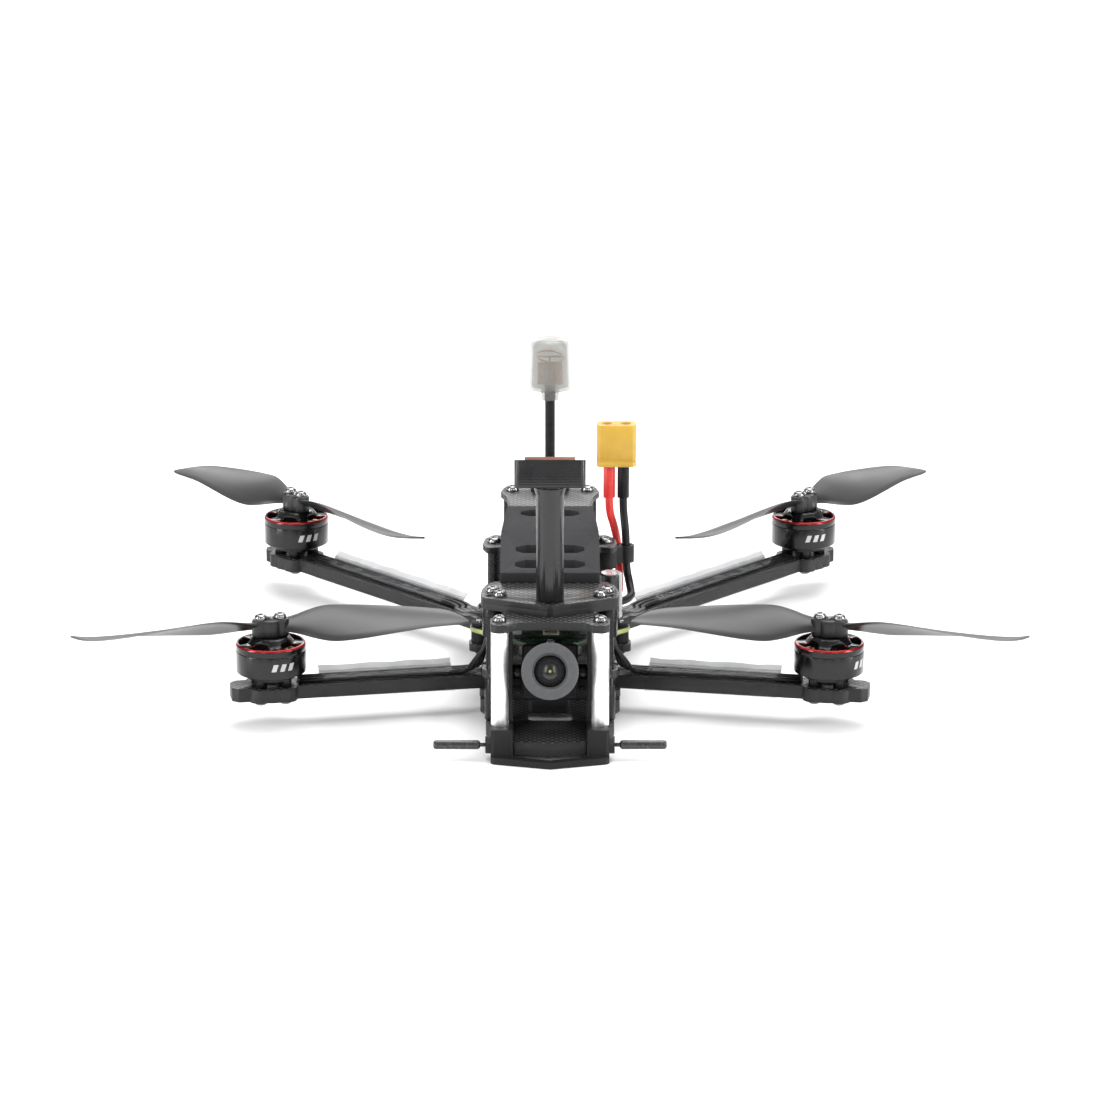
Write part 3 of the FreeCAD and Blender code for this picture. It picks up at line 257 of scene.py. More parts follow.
def woven_carbon(name):
    """Plain weave on the faces that lie flat, and bare laminate layers on the cut edges."""
    m = Nodes(name)
    x, y, z = m.split(m.place)
    u = m.math("MULTIPLY", x, 1000 / TOW)
    v = m.math("MULTIPLY", y, 1000 / TOW)
    step = m.math("SUBTRACT", m.math("FLOOR", u), m.math("FLOOR", v))
    over = m.math("LESS_THAN", m.math("FLOORED_MODULO", step, 2.0), 0.5)
    across = m.math("SINE", m.math("MULTIPLY", m.math("FRACT", u), math.pi))
    along = m.math("SINE", m.math("MULTIPLY", m.math("FRACT", v), math.pi))
    crown = m.choose(over, along, across)
    # Painted highlight: the middle of each tow is lightened, where its rounded crown would catch the light.
    tow_crown_highlight = m.spread(m.math("MULTIPLY", across, along), 0.0, 1.0, 0.05, 0.65)
    warp = m.vector("MULTIPLY", m.place, (ACROSS_FIBRES, ALONG_FIBRES, ALONG_FIBRES)).outputs[0]
    weft = m.vector("MULTIPLY", m.place, (ALONG_FIBRES, ACROSS_FIBRES, ALONG_FIBRES)).outputs[0]
    fibre = m.choose(over, m.noise(1.0, 2.0, weft), m.noise(1.0, 2.0, warp))
    # Painted sheen: in alternate cells of the weave the tow is painted lighter, with the painted highlight
    # on its crown, while in the others it stays near black; fibre noise then streaks both.
    dull = m.mix(over, grey(0.006), m.mix(tow_crown_highlight, grey(0.012), grey(0.085)))
    bright = m.mix(over, grey(0.014), m.mix(tow_crown_highlight, grey(0.03), grey(0.13)))
    weave = m.mix(m.spread(fibre, 0.0, 0.7), dull, bright)
    layers = m.math("SINE", m.math("MULTIPLY", z, 2 * math.pi / (PLY * MM)))
    edge = m.mix(m.spread(layers, 0.0, 1.0, -0.6, 0.6), grey(0.007), grey(0.024))
    flat = m.math("GREATER_THAN", m.math("ABSOLUTE", m.normal_axes()[2]), 0.6)
    relief = m.choose(flat, layers, crown)
    m.set(Base_Color=m.mix(flat, edge, weave), Normal=m.bump(relief, 0.03 * MM, 0.8),
          Roughness=m.choose(flat, m.spread(layers, 0.45, 0.62), m.spread(fibre, 0.26, 0.42)),
          Specular_IOR_Level=0.32, Coat_Weight=0.08, Coat_Roughness=0.2)
    return m.material


carbon = woven_carbon("carbon_twill")
printed = layered("printed_black", (0.011, 0.011, 0.012), 0.44)
mast_print = layered("printed_mast", (0.009, 0.009, 0.01), 0.26, pitch=0.62, depth=0.008,
                     tray_from=66.0, grain=0.0, shine=0.5)
pad_skin = moulded("pad_skin", (0.024, 0.024, 0.026), 0.8, vary=0.12, grain=5200.0, depth=0.03,
                   Specular_IOR_Level=0.2)
screw_steel = moulded("screw_steel", (0.26, 0.26, 0.27), 0.2, 1.0, vary=0.22, grain=2400.0,
                      depth=0.006)
bright_pillar = moulded("bright_pillar", (0.95, 0.95, 0.96), 0.42, 1.0, vary=0.05, grain=900.0,
                        depth=0.002)
anodised = moulded("black_anodised", (0.012, 0.012, 0.013), 0.26, 0.5, vary=0.3, grain=2600.0,
                   depth=0.004, Specular_IOR_Level=0.4)
copper = moulded("enamelled_copper", (0.42, 0.16, 0.06), 0.3, 1.0, vary=0.3, grain=3400.0,
                 depth=0.03)
red_silicone = moulded("red_silicone", (0.62, 0.03, 0.025), 0.38, vary=0.14, grain=1500.0,
                       depth=0.01)
black_silicone = moulded("black_silicone", (0.007, 0.007, 0.008), 0.36, vary=0.3, grain=1500.0,
                         depth=0.01, Specular_IOR_Level=0.22)
rubber = moulded("soft_rubber", (0.011, 0.011, 0.012), 0.62, vary=0.3, grain=3000.0, depth=0.012,
                 Specular_IOR_Level=0.25)
capsule = moulded("aerial_capsule", (0.026, 0.026, 0.028), 0.24, vary=0.1, grain=700.0,
                  depth=0.002)
plug_yellow = moulded("plug_nylon", (0.5, 0.3, 0.035), 0.36, vary=0.05, grain=1600.0,
                      depth=0.008, Subsurface_Weight=0.05)
camera_black = moulded("camera_case", (0.005, 0.005, 0.006), 0.5, vary=0.25, grain=3600.0,
                       depth=0.012, Specular_IOR_Level=0.15)
camera_grey = moulded("camera_barrel", (0.058, 0.059, 0.062), 0.5, vary=0.1, grain=4200.0,
                      depth=0.008)
clear_cap = moulded("cloudy_cap", (0.27, 0.27, 0.25), 0.22, vary=0.05, grain=200.0, depth=0.0,
                    Alpha=0.46, Coat_Weight=0.2, Coat_Roughness=0.1)
clear_film = moulded("clear_film", (0.03, 0.03, 0.031), 0.12, vary=0.06, grain=300.0,
                     depth=0.01, Alpha=0.09)
fringe_film = moulded("film_seam", (0.6, 0.605, 0.615), 0.2, vary=0.12, grain=300.0,
                      depth=0.004, Alpha=0.72)

BOARD_EDGE = 13.5


def circuit(name):
    """Board with tinned pads and tracks on its faces, and a yellow-green glass edge."""
    m = Nodes(name)
    cells = m.add("ShaderNodeTexVoronoi", feature="F1", distance="CHEBYCHEV")
    cells.inputs["Scale"].default_value = 780.0
    m.link(m.place, cells.inputs["Vector"])
    pads = m.math("LESS_THAN", cells.outputs["Distance"], 0.2)
    chosen = m.math("MULTIPLY", pads, m.math("GREATER_THAN", m.noise(420.0, 1.0), 0.52))
    cloud = m.spread(m.noise(900.0, 3.0), 0.0, 1.0)
    mask = m.mix(cloud, (0.004, 0.012, 0.006, 1), (0.01, 0.05, 0.018, 1))
    face = m.mix(chosen, mask, (0.62, 0.56, 0.36, 1))
    flat = m.math("GREATER_THAN", m.math("ABSOLUTE", m.normal_axes()[2]), 0.5)
    side = m.math("ABSOLUTE", m.split(m.place)[0])
    outer = m.math("GREATER_THAN", side, BOARD_EDGE * MM)
    edge = m.mix(outer, (0.006, 0.016, 0.008, 1), (0.36, 0.37, 0.12, 1))
    m.set(Base_Color=m.mix(flat, edge, face), Metallic=m.math("MULTIPLY", chosen, flat),
          Roughness=m.spread(m.noise(2000.0), 0.3, 0.5), Normal=m.bump(chosen, 0.03 * MM))
    return m.material


SOCKET_BACK = -67.5
SOCKET_HALF_WIDTH = 2.6
UPPER_BOARD = 26.7


def board_components():
    """Black chips; the socket at the front edge of the upper board is pale."""
    m = Nodes("board_components")
    x, y, z = m.split(m.place)
    front = m.math("LESS_THAN", y, SOCKET_BACK * MM)
    middle = m.math("LESS_THAN", m.math("ABSOLUTE", x), SOCKET_HALF_WIDTH * MM)
    upper = m.math("GREATER_THAN", z, UPPER_BOARD * MM)
    pale = m.math("MULTIPLY", m.math("MULTIPLY", front, middle), upper)
    fine = m.noise(3800.0, 4.0)
    dark = m.mix(m.spread(m.noise(500.0), 0.0, 1.0), grey(0.02), grey(0.06))
    m.set(Base_Color=m.mix(pale, dark, (0.5, 0.47, 0.4, 1)), Normal=m.bump(fine, 0.01 * MM),
          Roughness=m.spread(fine, 0.35, 0.55))
    return m.material


MOTOR_X = 71.5
MOTOR_Y = 60.0
BELL_TOP = 21.75
RIM_RADIUS = 8.5
RIM_DEPTH = 0.4
WINDOW_RADII = (5.7, 8.3)
WINDOW_LINE = 0.12
PRINT_LEVEL = BELL_TOP - 4.6
PRINT_HALF_HEIGHT = 0.95
PRINT_HALF_WIDTH = 3.2
PRINT_RADIUS = 8.9
BELL_RADIUS = 9.0
BAR_SPACING = 1.1
BAR_HALF_WIDTH = 0.62
BAR_LEAN = 0.35
TURNING_PITCH = 0.09

# Each corner: its sign in X and Y, its propeller's turn in degrees, and the propeller's hand
CORNERS = {"front_right": (-1, -1, 14.7, 1), "front_left": (1, -1, -14.7, -1),
           "rear_right": (-1, 1, -51.0, -1), "rear_left": (1, 1, 51.0, 1)}


def bell_finish(corner, side, end, mark):
    """Black anodised can, red on its rim and at its windows' tops, with a plain three-bar print."""
    m = Nodes("bell_" + corner + "_finish")
    x, y, z = m.split(m.from_centre(side * MOTOR_X, end * MOTOR_Y))
    radius = m.radius(x, y)
    upright = m.math("LESS_THAN", m.math("ABSOLUTE", m.normal_axes()[2]), 0.35)
    rim = m.math("MULTIPLY", m.math("GREATER_THAN", radius, RIM_RADIUS * MM),
                 m.math("GREATER_THAN", z, (BELL_TOP - RIM_DEPTH) * MM))
    inside = m.math("MULTIPLY", m.math("LESS_THAN", radius, WINDOW_RADII[1] * MM),
                    m.math("GREATER_THAN", radius, WINDOW_RADII[0] * MM))
    top_line = m.math("MULTIPLY", upright,
                      m.math("GREATER_THAN", z, (BELL_TOP - WINDOW_LINE) * MM))
    red = m.math("MAXIMUM", rim, m.math("MULTIPLY", inside, top_line))
    angle = m.math("ADD", m.math("ARCTAN2", y, x), math.radians(90 - mark))
    arc = m.math("MULTIPLY", angle, BELL_RADIUS)
    level = m.math("SUBTRACT", m.math("MULTIPLY", z, 1000.0), PRINT_LEVEL)
    lean = m.math("SUBTRACT", arc, m.math("MULTIPLY", level, BAR_LEAN))
    bar = m.math("LESS_THAN", m.math("PINGPONG", lean, BAR_SPACING), BAR_HALF_WIDTH)
    tall = m.math("LESS_THAN", m.math("ABSOLUTE", level), PRINT_HALF_HEIGHT)
    short = m.math("LESS_THAN", m.math("ABSOLUTE", lean), PRINT_HALF_WIDTH)
    outer = m.math("GREATER_THAN", radius, PRINT_RADIUS * MM)
    mark_here = m.math("MULTIPLY", m.math("MULTIPLY", bar, tall),
                       m.math("MULTIPLY", short, outer))
    turned = m.math("SINE", m.math("MULTIPLY", z, 2 * math.pi / (TURNING_PITCH * MM)))
    fine = m.noise(2600.0, 3.0)
    body = m.mix(m.spread(fine, 0.0, 1.0), grey(0.006), grey(0.013))
    colour = m.mix(red, body, (0.4, 0.01, 0.014, 1))
    uneven = m.math("ADD", fine, m.math("MULTIPLY", turned, 0.08))
    m.set(Base_Color=m.mix(mark_here, colour, grey(0.42)), Roughness=m.spread(uneven, 0.12, 0.22),
          Metallic=m.math("SUBTRACT", 0.6, m.math("MULTIPLY", mark_here, 0.6)),
          Normal=m.bump(turned, 0.0012 * MM), Coat_Weight=0.25, Coat_Roughness=0.12)
    return m.material


BLADE_REACH = 51.0
# Grey by radius from the hub: darker towards the hub, partly from the thicker plastic's deeper tint and
# partly as painted shade.
BLADE_TINT_AND_HUB_SHADE = ((0.0, 0.006), (0.09, 0.01), (0.2, 0.024), (0.42, 0.032), (0.7, 0.04), (1.0, 0.06))


def blade_finish(corner, side, end):
    """Smoke-grey polycarbonate, nearly black at the thick hub and paler where the blade thins; the darkness
    near the hub is partly the thicker plastic's deeper tint and partly painted shade.
    """
    m = Nodes("blade_" + corner + "_finish")
    x, y, _ = m.split(m.from_centre(side * MOTOR_X, end * MOTOR_Y))
    tint_and_hub_shade = m.ramp(m.math("MULTIPLY", m.radius(x, y), 1000 / BLADE_REACH),
                  [(where, grey(value)) for where, value in BLADE_TINT_AND_HUB_SHADE])
    flow = m.noise(1.0, 2.0, m.vector("MULTIPLY", m.place, (90.0, 90.0, 500.0)).outputs[0])
    shade = m.mix(m.spread(flow, 0.0, 0.12), tint_and_hub_shade, grey(0.02))
    m.set(Base_Color=shade, Roughness=m.spread(flow, 0.34, 0.38), Specular_IOR_Level=0.4)
    return m.material


CAMERA_REST_TILT = 18.0
CAMERA_PIVOT = (0.0, -80.7, 20.15)
LENS_RADIUS = 4.2
# From the lens axis outwards: the two yellow-green stops are a painted reflection at the centre; the dark
# greys after them are the lens's rings.
LENS_RINGS_AND_GLINT = ((0.0, (0.5, 0.52, 0.12, 1)), (0.075, (0.3, 0.33, 0.06, 1)), (0.11, grey(0.006)),
              (0.3, grey(0.012)), (0.34, grey(0.03)), (0.55, grey(0.022)), (0.6, grey(0.04)),
              (0.9, grey(0.03)), (0.95, grey(0.012)))


def lens_glass():
    """Rings of a small lens seen through its dark coated front, with a painted yellow-green reflection at
    the centre.
    """
    m = Nodes("lens_glass")
    tilt = math.radians(CAMERA_REST_TILT)
    sight = (0.0, -math.cos(tilt), math.sin(tilt))
    offset = m.from_centre(*CAMERA_PIVOT)
    across = m.vector("CROSS_PRODUCT", offset, sight).outputs[0]
    reach = m.vector("LENGTH", across).outputs["Value"]
    m.set(Base_Color=m.ramp(m.math("MULTIPLY", reach, 1000 / LENS_RADIUS), LENS_RINGS_AND_GLINT),
          Roughness=m.spread(m.noise(800.0), 0.2, 0.3), Coat_Weight=0.4, Coat_Roughness=0.16,
          Specular_IOR_Level=0.3)
    return m.material


CAPACITOR_X = 15.6
CAPACITOR_Y = -51.0
CAPACITOR_LID = 37.2
CAPACITOR_LID_RADIUS = 2.4


def capacitor_sleeve():
    """Black shrink sleeve with one pale stripe down its side and a bare metal top."""
    m = Nodes("capacitor_sleeve")
    x, y, z = m.split(m.from_centre(CAPACITOR_X, CAPACITOR_Y))
    off_stripe = m.math("SUBTRACT", m.math("ARCTAN2", y, x), math.radians(-20))
    stripe = m.math("LESS_THAN", m.math("ABSOLUTE", off_stripe), 0.42)
    lid = m.math("MULTIPLY", m.math("GREATER_THAN", z, CAPACITOR_LID * MM),
                 m.math("LESS_THAN", m.radius(x, y), CAPACITOR_LID_RADIUS * MM))
    fine = m.noise(1200.0)
    sleeve = m.mix(stripe, m.mix(fine, grey(0.01), grey(0.02)), grey(0.34))
    m.set(Base_Color=m.mix(lid, sleeve, grey(0.55)), Metallic=lid,
          Roughness=m.spread(fine, 0.2, 0.34))
    return m.material


CERAMIC_FLOOR = 70.4


def ceramic_patch():
    """Receiver module: a brown ceramic block on a dark board."""
    m = Nodes("ceramic_patch")
    height = m.split(m.place)[2]
    upper = m.math("GREATER_THAN", height, CERAMIC_FLOOR * MM)
    fine = m.noise(2200.0)
    ceramic = m.mix(fine, (0.2, 0.085, 0.05, 1), (0.3, 0.13, 0.075, 1))
    m.set(Base_Color=m.mix(upper, (0.02, 0.05, 0.03, 1), ceramic), Normal=m.bump(fine, 0.01 * MM),
          Roughness=m.spread(fine, 0.4, 0.6))
    return m.material


# ---- carried-over CAD nodes -----------------------------------------------------------------

EDGE_ANGLE = 35.0
WELD_DISTANCE = 0.002


def finish_node(name, material, bevel):
    """Give a CAD node its material, smooth shading and softened edges."""
    node = nodes[name]
    node.data.materials.clear()
    node.data.materials.append(material)
    for polygon in node.data.polygons:
        polygon.use_smooth = True
        polygon.material_index = 0
    weld = node.modifiers.new("weld", "WELD")
    weld.merge_threshold = WELD_DISTANCE * MM
    if bevel:
        edge = node.modifiers.new("bevel", "BEVEL")
        edge.width = bevel * MM
        edge.segments = 2
        edge.limit_method = "ANGLE"
        edge.angle_limit = math.radians(EDGE_ANGLE)
        edge.use_clamp_overlap = True
        edge.harden_normals = True


FINISHES = (
    (carbon, 0.1, ("bottom_plate", "lower_plate", "mid_plate", "stack_plate", "camera_plate", "front_plate",
                   "top_plate", "arm_front_left", "arm_front_right", "arm_rear_left", "arm_rear_right",
                   "camera_side_left", "camera_side_right")),
    (printed, 0.16, ("bumper", "antenna_holder", "lead_clip")),
    (mast_print, 0.2, ("gps_mast",)),
    (pad_skin, 0.15, ("battery_pad",)),
    (screw_steel, 0.06, ("frame_screws", "motor_screws")),
    (anodised, 0.06, ("camera_screws",)),
    (screw_steel, 0.04, ("bearings",)),
    (bright_pillar, 0.1, ("front_pillars",)),
    (anodised, 0.08, ("plate_spacers", "motor_bases")),
    (copper, 0.05, ("stators", "antenna_element")),
    (circuit("circuit_board"), 0.05, ("flight_controller", "video_board")),
    (board_components(), 0.05, ("board_parts",)),
    (rubber, 0.08, ("board_grommets", "antenna_stem")),
    (capsule, 0.1, ("receiver_antenna",)),
    (black_silicone, 0.0, ("motor_wires",)),
    (black_silicone, 0.12, ("shrink_black",)),
    (red_silicone, 0.12, ("shrink_red",)),
    (capacitor_sleeve(), 0.0, ("capacitor",)),
    (ceramic_patch(), 0.08, ("gps_module",)),
    (clear_cap, 0.0, ("antenna_cap",)),
    (plug_yellow, 0.14, ("power_connector",)),
    (camera_black, 0.12, ("camera_housing",)),
    (camera_grey, 0.14, ("camera_ring",)),
    (lens_glass(), 0.0, ("camera_lens",)))

for material, bevel, names in FINISHES:
    for name in names:
        finish_node(name, material, bevel)

# Where each bell's print faces, in degrees round from the nose
MARKS = {"front_right": 24, "front_left": 62, "rear_right": 26, "rear_left": 20}
for corner, (side, end, _, _) in CORNERS.items():
    finish_node("bell_" + corner, bell_finish(corner, side, end, MARKS[corner]), 0.07)
    finish_node("rotor_fasteners_" + corner, screw_steel, 0.06)

red_lead.data.materials.append(red_silicone)
black_lead.data.materials.append(black_silicone)


# ---- meshes built here ----------------------------------------------------------------------

SHARP_ANGLE = 38


def make_piece(name, vertices, faces, material, body, replaced=()):
    mesh = bpy.data.meshes.new(name)
    mesh.from_pydata([tuple(v) for v in vertices], [], faces)
    mesh.validate()
    mesh.update()
    mesh.materials.append(material)
    mesh.polygons.foreach_set("use_smooth", [True] * len(mesh.polygons))
    mesh.set_sharp_from_angle(angle=math.radians(SHARP_ANGLE))
    piece = bpy.data.objects.new(name, mesh)
    bpy.context.scene.collection.objects.link(piece)
    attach(piece, body)
    if replaced:
        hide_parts(*replaced)
    return piece



def loft(rings, closed_ends=True):
    """Vertices and faces through rings that all have the same number of points."""
    count = len(rings[0])
    vertices = [p for ring in rings for p in ring]
    faces = []
    for i in range(len(rings) - 1):
        for j in range(count):
            k = (j + 1) % count
            faces.append((i * count + j, i * count + k, (i + 1) * count + k, (i + 1) * count + j))
    if closed_ends:
        faces.append(tuple(range(count - 1, -1, -1)))
        last = (len(rings) - 1) * count
        faces.append(tuple(range(last, last + count)))
    return vertices, faces


def gather(vertices, faces, more, links):
    """Add one closed shape's vertices and faces to lists that hold others."""
    start = len(vertices)
    vertices += more
    faces += [tuple(start + i for i in face) for face in links]


# Blade stations: radius, chord, pitch in degrees, how far the chord's middle leads
BLADE = ((2.4, 4.6, 24, 0.0), (7.0, 7.0, 31, -0.4), (10.5, 10.0, 32, -0.9),
         (15.0, 12.8, 31, -1.3), (21.0, 13.3, 27, -1.5), (30.0, 12.6, 20, -1.1),
         (40.0, 10.6, 14, -1.0), (46.0, 9.0, 11, -2.0), (49.0, 6.0, 10, -4.0),
         (50.5, 1.6, 9, -6.3))
BLADE_STEPS = 44
CHORD_STEPS = 14
CHORD_SCALE = 0.97
CAMBER = 0.045
EDGE_HALF = 0.11
THIN = 0.42
ROOT_EXTRA = 1.5
ROOT_END = 22
HUB_Z = BELL_TOP + 1.6
HUB_HEIGHT = 4.5
HUB_POINTS = 120
HUB_WAIST = 2.95
BOSS_OFFSET = 2.5
BOSS_RADIUS = 2.3
TIP_R = 50.9
RISE = 0.3
DROOP = 0.9


def between(radius, column):
    """Smooth value of a blade column at a radius, by a cubic through the stations."""
    for i in range(len(BLADE) - 1):
        if radius <= BLADE[i + 1][0]:
            break
    low, high = BLADE[i], BLADE[i + 1]
    before, after = BLADE[max(0, i - 1)], BLADE[min(len(BLADE) - 1, i + 2)]
    width = high[0] - low[0]
    t = (radius - low[0]) / width
    slope_low = (high[column] - before[column]) / (high[0] - before[0]) * width
    slope_high = (after[column] - low[column]) / (after[0] - low[0]) * width
    return ((2 * t ** 3 - 3 * t ** 2 + 1) * low[column] + (t ** 3 - 2 * t ** 2 + t) * slope_low
            + (3 * t ** 2 - 2 * t ** 3) * high[column] + (t ** 3 - t ** 2) * slope_high)


def blade_ring(radius, hand):
    """Closed section of a blade: over its top to the trailing edge and back below."""
    chord, pitch, lead_by = (between(radius, c) for c in (1, 2, 3))
    slope = math.radians(pitch)
    thick = THIN + ROOT_EXTRA * max(0.0, 1 - radius / ROOT_END) ** 2
    droop = DROOP * (radius / TIP_R) ** 2
    points = []
    for side, order in ((1, range(CHORD_STEPS)), (-1, range(CHORD_STEPS, 0, -1))):
        for k in order:
            t = k / CHORD_STEPS
            shape = 4 * t * (1 - t)
            rise = CAMBER * chord * shape + side * (EDGE_HALF + thick / 2 * shape ** 0.6)
            s = chord * (0.5 - t) * CHORD_SCALE
            y = lead_by + s * math.cos(slope) - rise * math.sin(slope)
            z = HUB_Z + HUB_HEIGHT / 2 + RISE - droop + s * math.sin(slope) + rise * math.cos(slope)
            points.append((radius, hand * y, z))
    return points if hand > 0 else points[::-1]


def hub_rings():
    """Hub outline round two screw bosses and the shaft's boss, with softened edges."""
    levels = ((0.0, 0.35), (0.12, 0.12), (0.4, 0.0), (3.9, 0.0), (4.32, 0.14), (4.5, 0.42))
    rings = []
    for level, inset in levels:
        ring = []
        for i in range(HUB_POINTS):
            a = 2 * math.pi * i / HUB_POINTS
            reach = HUB_WAIST
            for middle in (BOSS_OFFSET, -BOSS_OFFSET):
                along = middle * math.cos(a)
                inner = BOSS_RADIUS ** 2 - (middle * math.sin(a)) ** 2
                if inner > 0:
                    reach = max(reach, along + math.sqrt(inner))
            ring.append(((reach - inset) * math.cos(a), (reach - inset) * math.sin(a), HUB_Z + level))
        rings.append(ring)
    return rings


def propeller(corner, side, end, turn, hand):
    """Hub and two blades as one piece, turned to where the propeller rests."""
    vertices, faces = loft(hub_rings())
    root, tip = BLADE[0][0], BLADE[-1][0]
    radii = [root + (tip - root) * (i / BLADE_STEPS) for i in range(BLADE_STEPS + 1)]
    for flip in (1, -1):
        blade, links = loft([blade_ring(r, hand) for r in radii])
        gather(vertices, faces, [(flip * x, flip * y, z) for x, y, z in blade], links)
    spin = Matrix.Rotation(math.radians(turn), 3, "Z")
    shift = Vector((side * MOTOR_X, end * MOTOR_Y, 0))
    placed = [(spin @ Vector(v) + shift) * MM for v in vertices]
    make_piece("two_blade_propeller_" + corner, placed, faces, blade_finish(corner, side, end),
               "rotor_" + corner, ["propeller_" + corner])


for corner, (side, end, turn, hand) in CORNERS.items():
    propeller(corner, side, end, turn, hand)


COLUMN_RADIUS = 1.79
COLUMN_END_RADIUS = 1.69
COLUMN_CHAMFER = 0.15
COLUMN_POINTS = 72
COLUMN_STEP = 0.16
COLLAR = 0.7
COLLAR_FADE = 0.3
KNURL_DEPTH = 0.09
KNURL_COUNT = 9
KNURL_TWIST = 2.6


def knurled(name, places, replaced):
    """Columns with a diamond pattern between two plain collars."""
    vertices, faces = [], []
    for x, y, low, high in places:
        steps = int((high - low) / COLUMN_STEP)
        rings = []
        for i in range(steps + 1):
            z = low + (high - low) * i / steps
            edge = min(z - low, high - z)
            deep = KNURL_DEPTH * min(1.0, max(0.0, (edge - COLLAR) / COLLAR_FADE))
            bare = COLUMN_END_RADIUS if edge < COLUMN_CHAMFER else COLUMN_RADIUS
            ring = []
            for j in range(COLUMN_POINTS):
                a = 2 * math.pi * j / COLUMN_POINTS
                lines = (abs(math.sin(KNURL_COUNT * a + KNURL_TWIST * z))
                         * abs(math.sin(KNURL_COUNT * a - KNURL_TWIST * z)))
                r = bare - deep * (1 - min(1.0, 2.2 * lines))
                ring.append((x + r * math.cos(a), y + r * math.sin(a), z))
            rings.append(ring)
        gather(vertices, faces, *loft(rings))
    make_piece(name, [Vector(v) * MM for v in vertices], faces, anodised, "frame", replaced)


knurled("diamond_knurled_columns",
        [(s * x, y, low, high) for s in (1, -1)
         for x, y, low, high in ((14.4, -72.3, 18.45, 27.15), (14.6, -27.0, 18.45, 37.25))],
        ["knurled_columns"])


# Clear sleeves round the arms, each with its seam standing up and back as a thin fin
SLEEVE_HALF = 4.0
SLEEVE_FLOOR = 6.65
SLEEVE_ROOF = 12.05
SLEEVE_CORNER = 0.55
SLEEVE_WALL = 0.12
SLEEVE_STEPS = 40
SLEEVE_SAG = 0.1
FIN_REACH = 5.6
FIN_WAVE = 0.1
FIN_LIFT = 0.12

# Each arm: its turn in degrees, its motor's sign in Y, and where from the motor the sleeve runs
SLEEVED_ARMS = ((10.9, -1, 12.8, 47.3), (-48.15, 1, 12.3, 67.5))


def sleeve_ring(s, roof):
    """Rounded box section across the arm, at distance s from the motor."""
    points = []
    y = SLEEVE_HALF - SLEEVE_CORNER
    top, foot = roof - SLEEVE_CORNER, SLEEVE_FLOOR + SLEEVE_CORNER
    for cy, cz, start in ((y, top, 0), (-y, top, 90), (-y, foot, 180), (y, foot, 270)):
        for k in range(5):
            a = math.radians(start + 22.5 * k)
            points.append((s, cy + SLEEVE_CORNER * math.cos(a), cz + SLEEVE_CORNER * math.sin(a)))
    return points


def fin_ring(s, reach, lift):
    """Thin section of the seam, from the sleeve's back shoulder to its waving edge."""
    return [(s, 3.95, 10.8), (s, reach, 12.65 + lift), (s, reach - 0.2, 12.85 + lift), (s, 3.8, 11.3)]


def on_arm(point, turn, end, mirror):
    """Place of a point that is given along a right arm, from its motor."""
    spin = Matrix.Rotation(math.radians(turn), 3, "Z")
    x, y, z = spin @ Vector(point) + Vector((-MOTOR_X, end * MOTOR_Y, 0))
    return Vector((x * mirror, y, z)) * MM


def sleeves():
    skins, skin_faces, seams, seam_faces = [], [], [], []
    for mirror in (1, -1):
        for turn, end, start, finish in SLEEVED_ARMS:
            skin_rings, fin_rings = [], []
            for i in range(SLEEVE_STEPS + 1):
                s = start + (finish - start) * i / SLEEVE_STEPS
                sag = SLEEVE_SAG * math.sin(s * 0.9) * math.sin(s * 0.37)
                skin_rings.append(sleeve_ring(s, SLEEVE_ROOF + sag))
                reach = FIN_REACH - FIN_WAVE * (1 + math.sin(s * 0.8 + 1.3 * mirror))
                fin_rings.append(fin_ring(s, reach, FIN_LIFT * math.sin(s * 0.55)))
            vertices, faces = loft(skin_rings, False)
            gather(skins, skin_faces, [on_arm(v, turn, end, mirror) for v in vertices], faces)
            vertices, faces = loft(fin_rings)
            gather(seams, seam_faces, [on_arm(v, turn, end, mirror) for v in vertices], faces)
    skin = make_piece("clear_arm_sleeves", skins, skin_faces, clear_film, "frame",
                      ["wire_sleeves"])
    solid = skin.modifiers.new("wall", "SOLIDIFY")
    solid.thickness = SLEEVE_WALL * MM
    solid.offset = -1.0
    make_piece("sleeve_seams", seams, seam_faces, fringe_film, "frame", ())


sleeves()

# ---- floor and light ------------------------------------------------------------------------

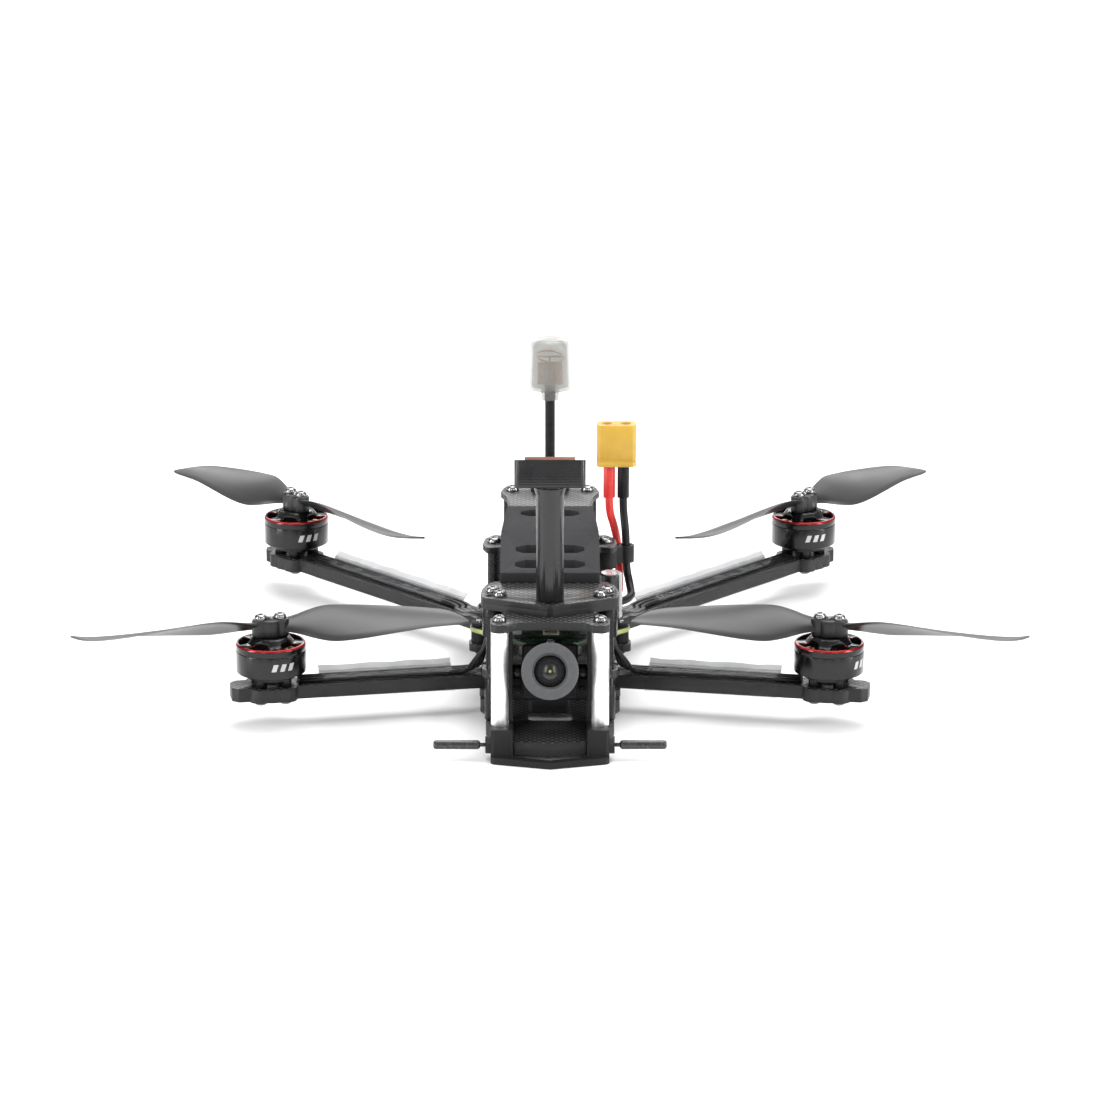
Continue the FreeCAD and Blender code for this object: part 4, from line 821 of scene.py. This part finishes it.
FLOOR_REACH = 6
SKY_STRENGTH = 0.42
SUN_STRENGTH = 1.9
SUN_SOFTNESS = 50
SUN_TURN = (-14, 10, 0)
LAMP_AIM = Vector((0, 0, 0.03))

# Area lamps: name, place, size and power
LAMPS = (("overhead", (0.0, 0.25, 1.0), (0.9, 0.7), 6.0),
         ("left_strip", (-0.85, -0.35, 0.35), (0.2, 0.8), 7.0),
         ("right_strip", (0.85, -0.35, 0.35), (0.2, 0.8), 7.0),
         ("front_strip_left", (-0.4, -0.9, 0.5), (0.1, 0.6), 2.0),
         ("front_strip_right", (0.4, -0.9, 0.5), (0.1, 0.6), 2.0),
         ("back_rim", (0.0, 1.0, 0.5), (1.2, 0.3), 4.0))

floor_mesh = bpy.data.meshes.new("floor")
floor_mesh.from_pydata([(x * FLOOR_REACH, y * FLOOR_REACH, 0)
                        for x, y in ((-1, -1), (1, -1), (1, 1), (-1, 1))], [], [(0, 1, 2, 3)])
floor = bpy.data.objects.new("floor", floor_mesh)
bpy.context.scene.collection.objects.link(floor)
floor_mesh.materials.append(moulded("floor_paint", (0.88, 0.88, 0.88), 0.7, vary=0.01, grain=60.0,
                                    depth=0.01))

world = bpy.data.worlds.new("studio")
world.use_nodes = True
world.node_tree.nodes["Background"].inputs["Color"].default_value = (1, 1, 1, 1)
world.node_tree.nodes["Background"].inputs["Strength"].default_value = SKY_STRENGTH
bpy.context.scene.world = world
bpy.context.scene.view_settings.view_transform = "Standard"


def lamp(name, place, size, power):
    light = bpy.data.lights.new(name, "AREA")
    light.shape = "RECTANGLE"
    light.size, light.size_y = size
    light.energy = power
    holder = bpy.data.objects.new(name, light)
    holder.location = place
    holder.rotation_euler = (LAMP_AIM - Vector(place)).to_track_quat("-Z", "Y").to_euler()
    bpy.context.scene.collection.objects.link(holder)


sun = bpy.data.lights.new("sky_panel", "SUN")
sun.energy = SUN_STRENGTH
sun.angle = math.radians(SUN_SOFTNESS)
sun_holder = bpy.data.objects.new("sky_panel", sun)
sun_holder.rotation_euler = [math.radians(a) for a in SUN_TURN]
bpy.context.scene.collection.objects.link(sun_holder)
for name, place, size, power in LAMPS:
    lamp(name, place, size, power)
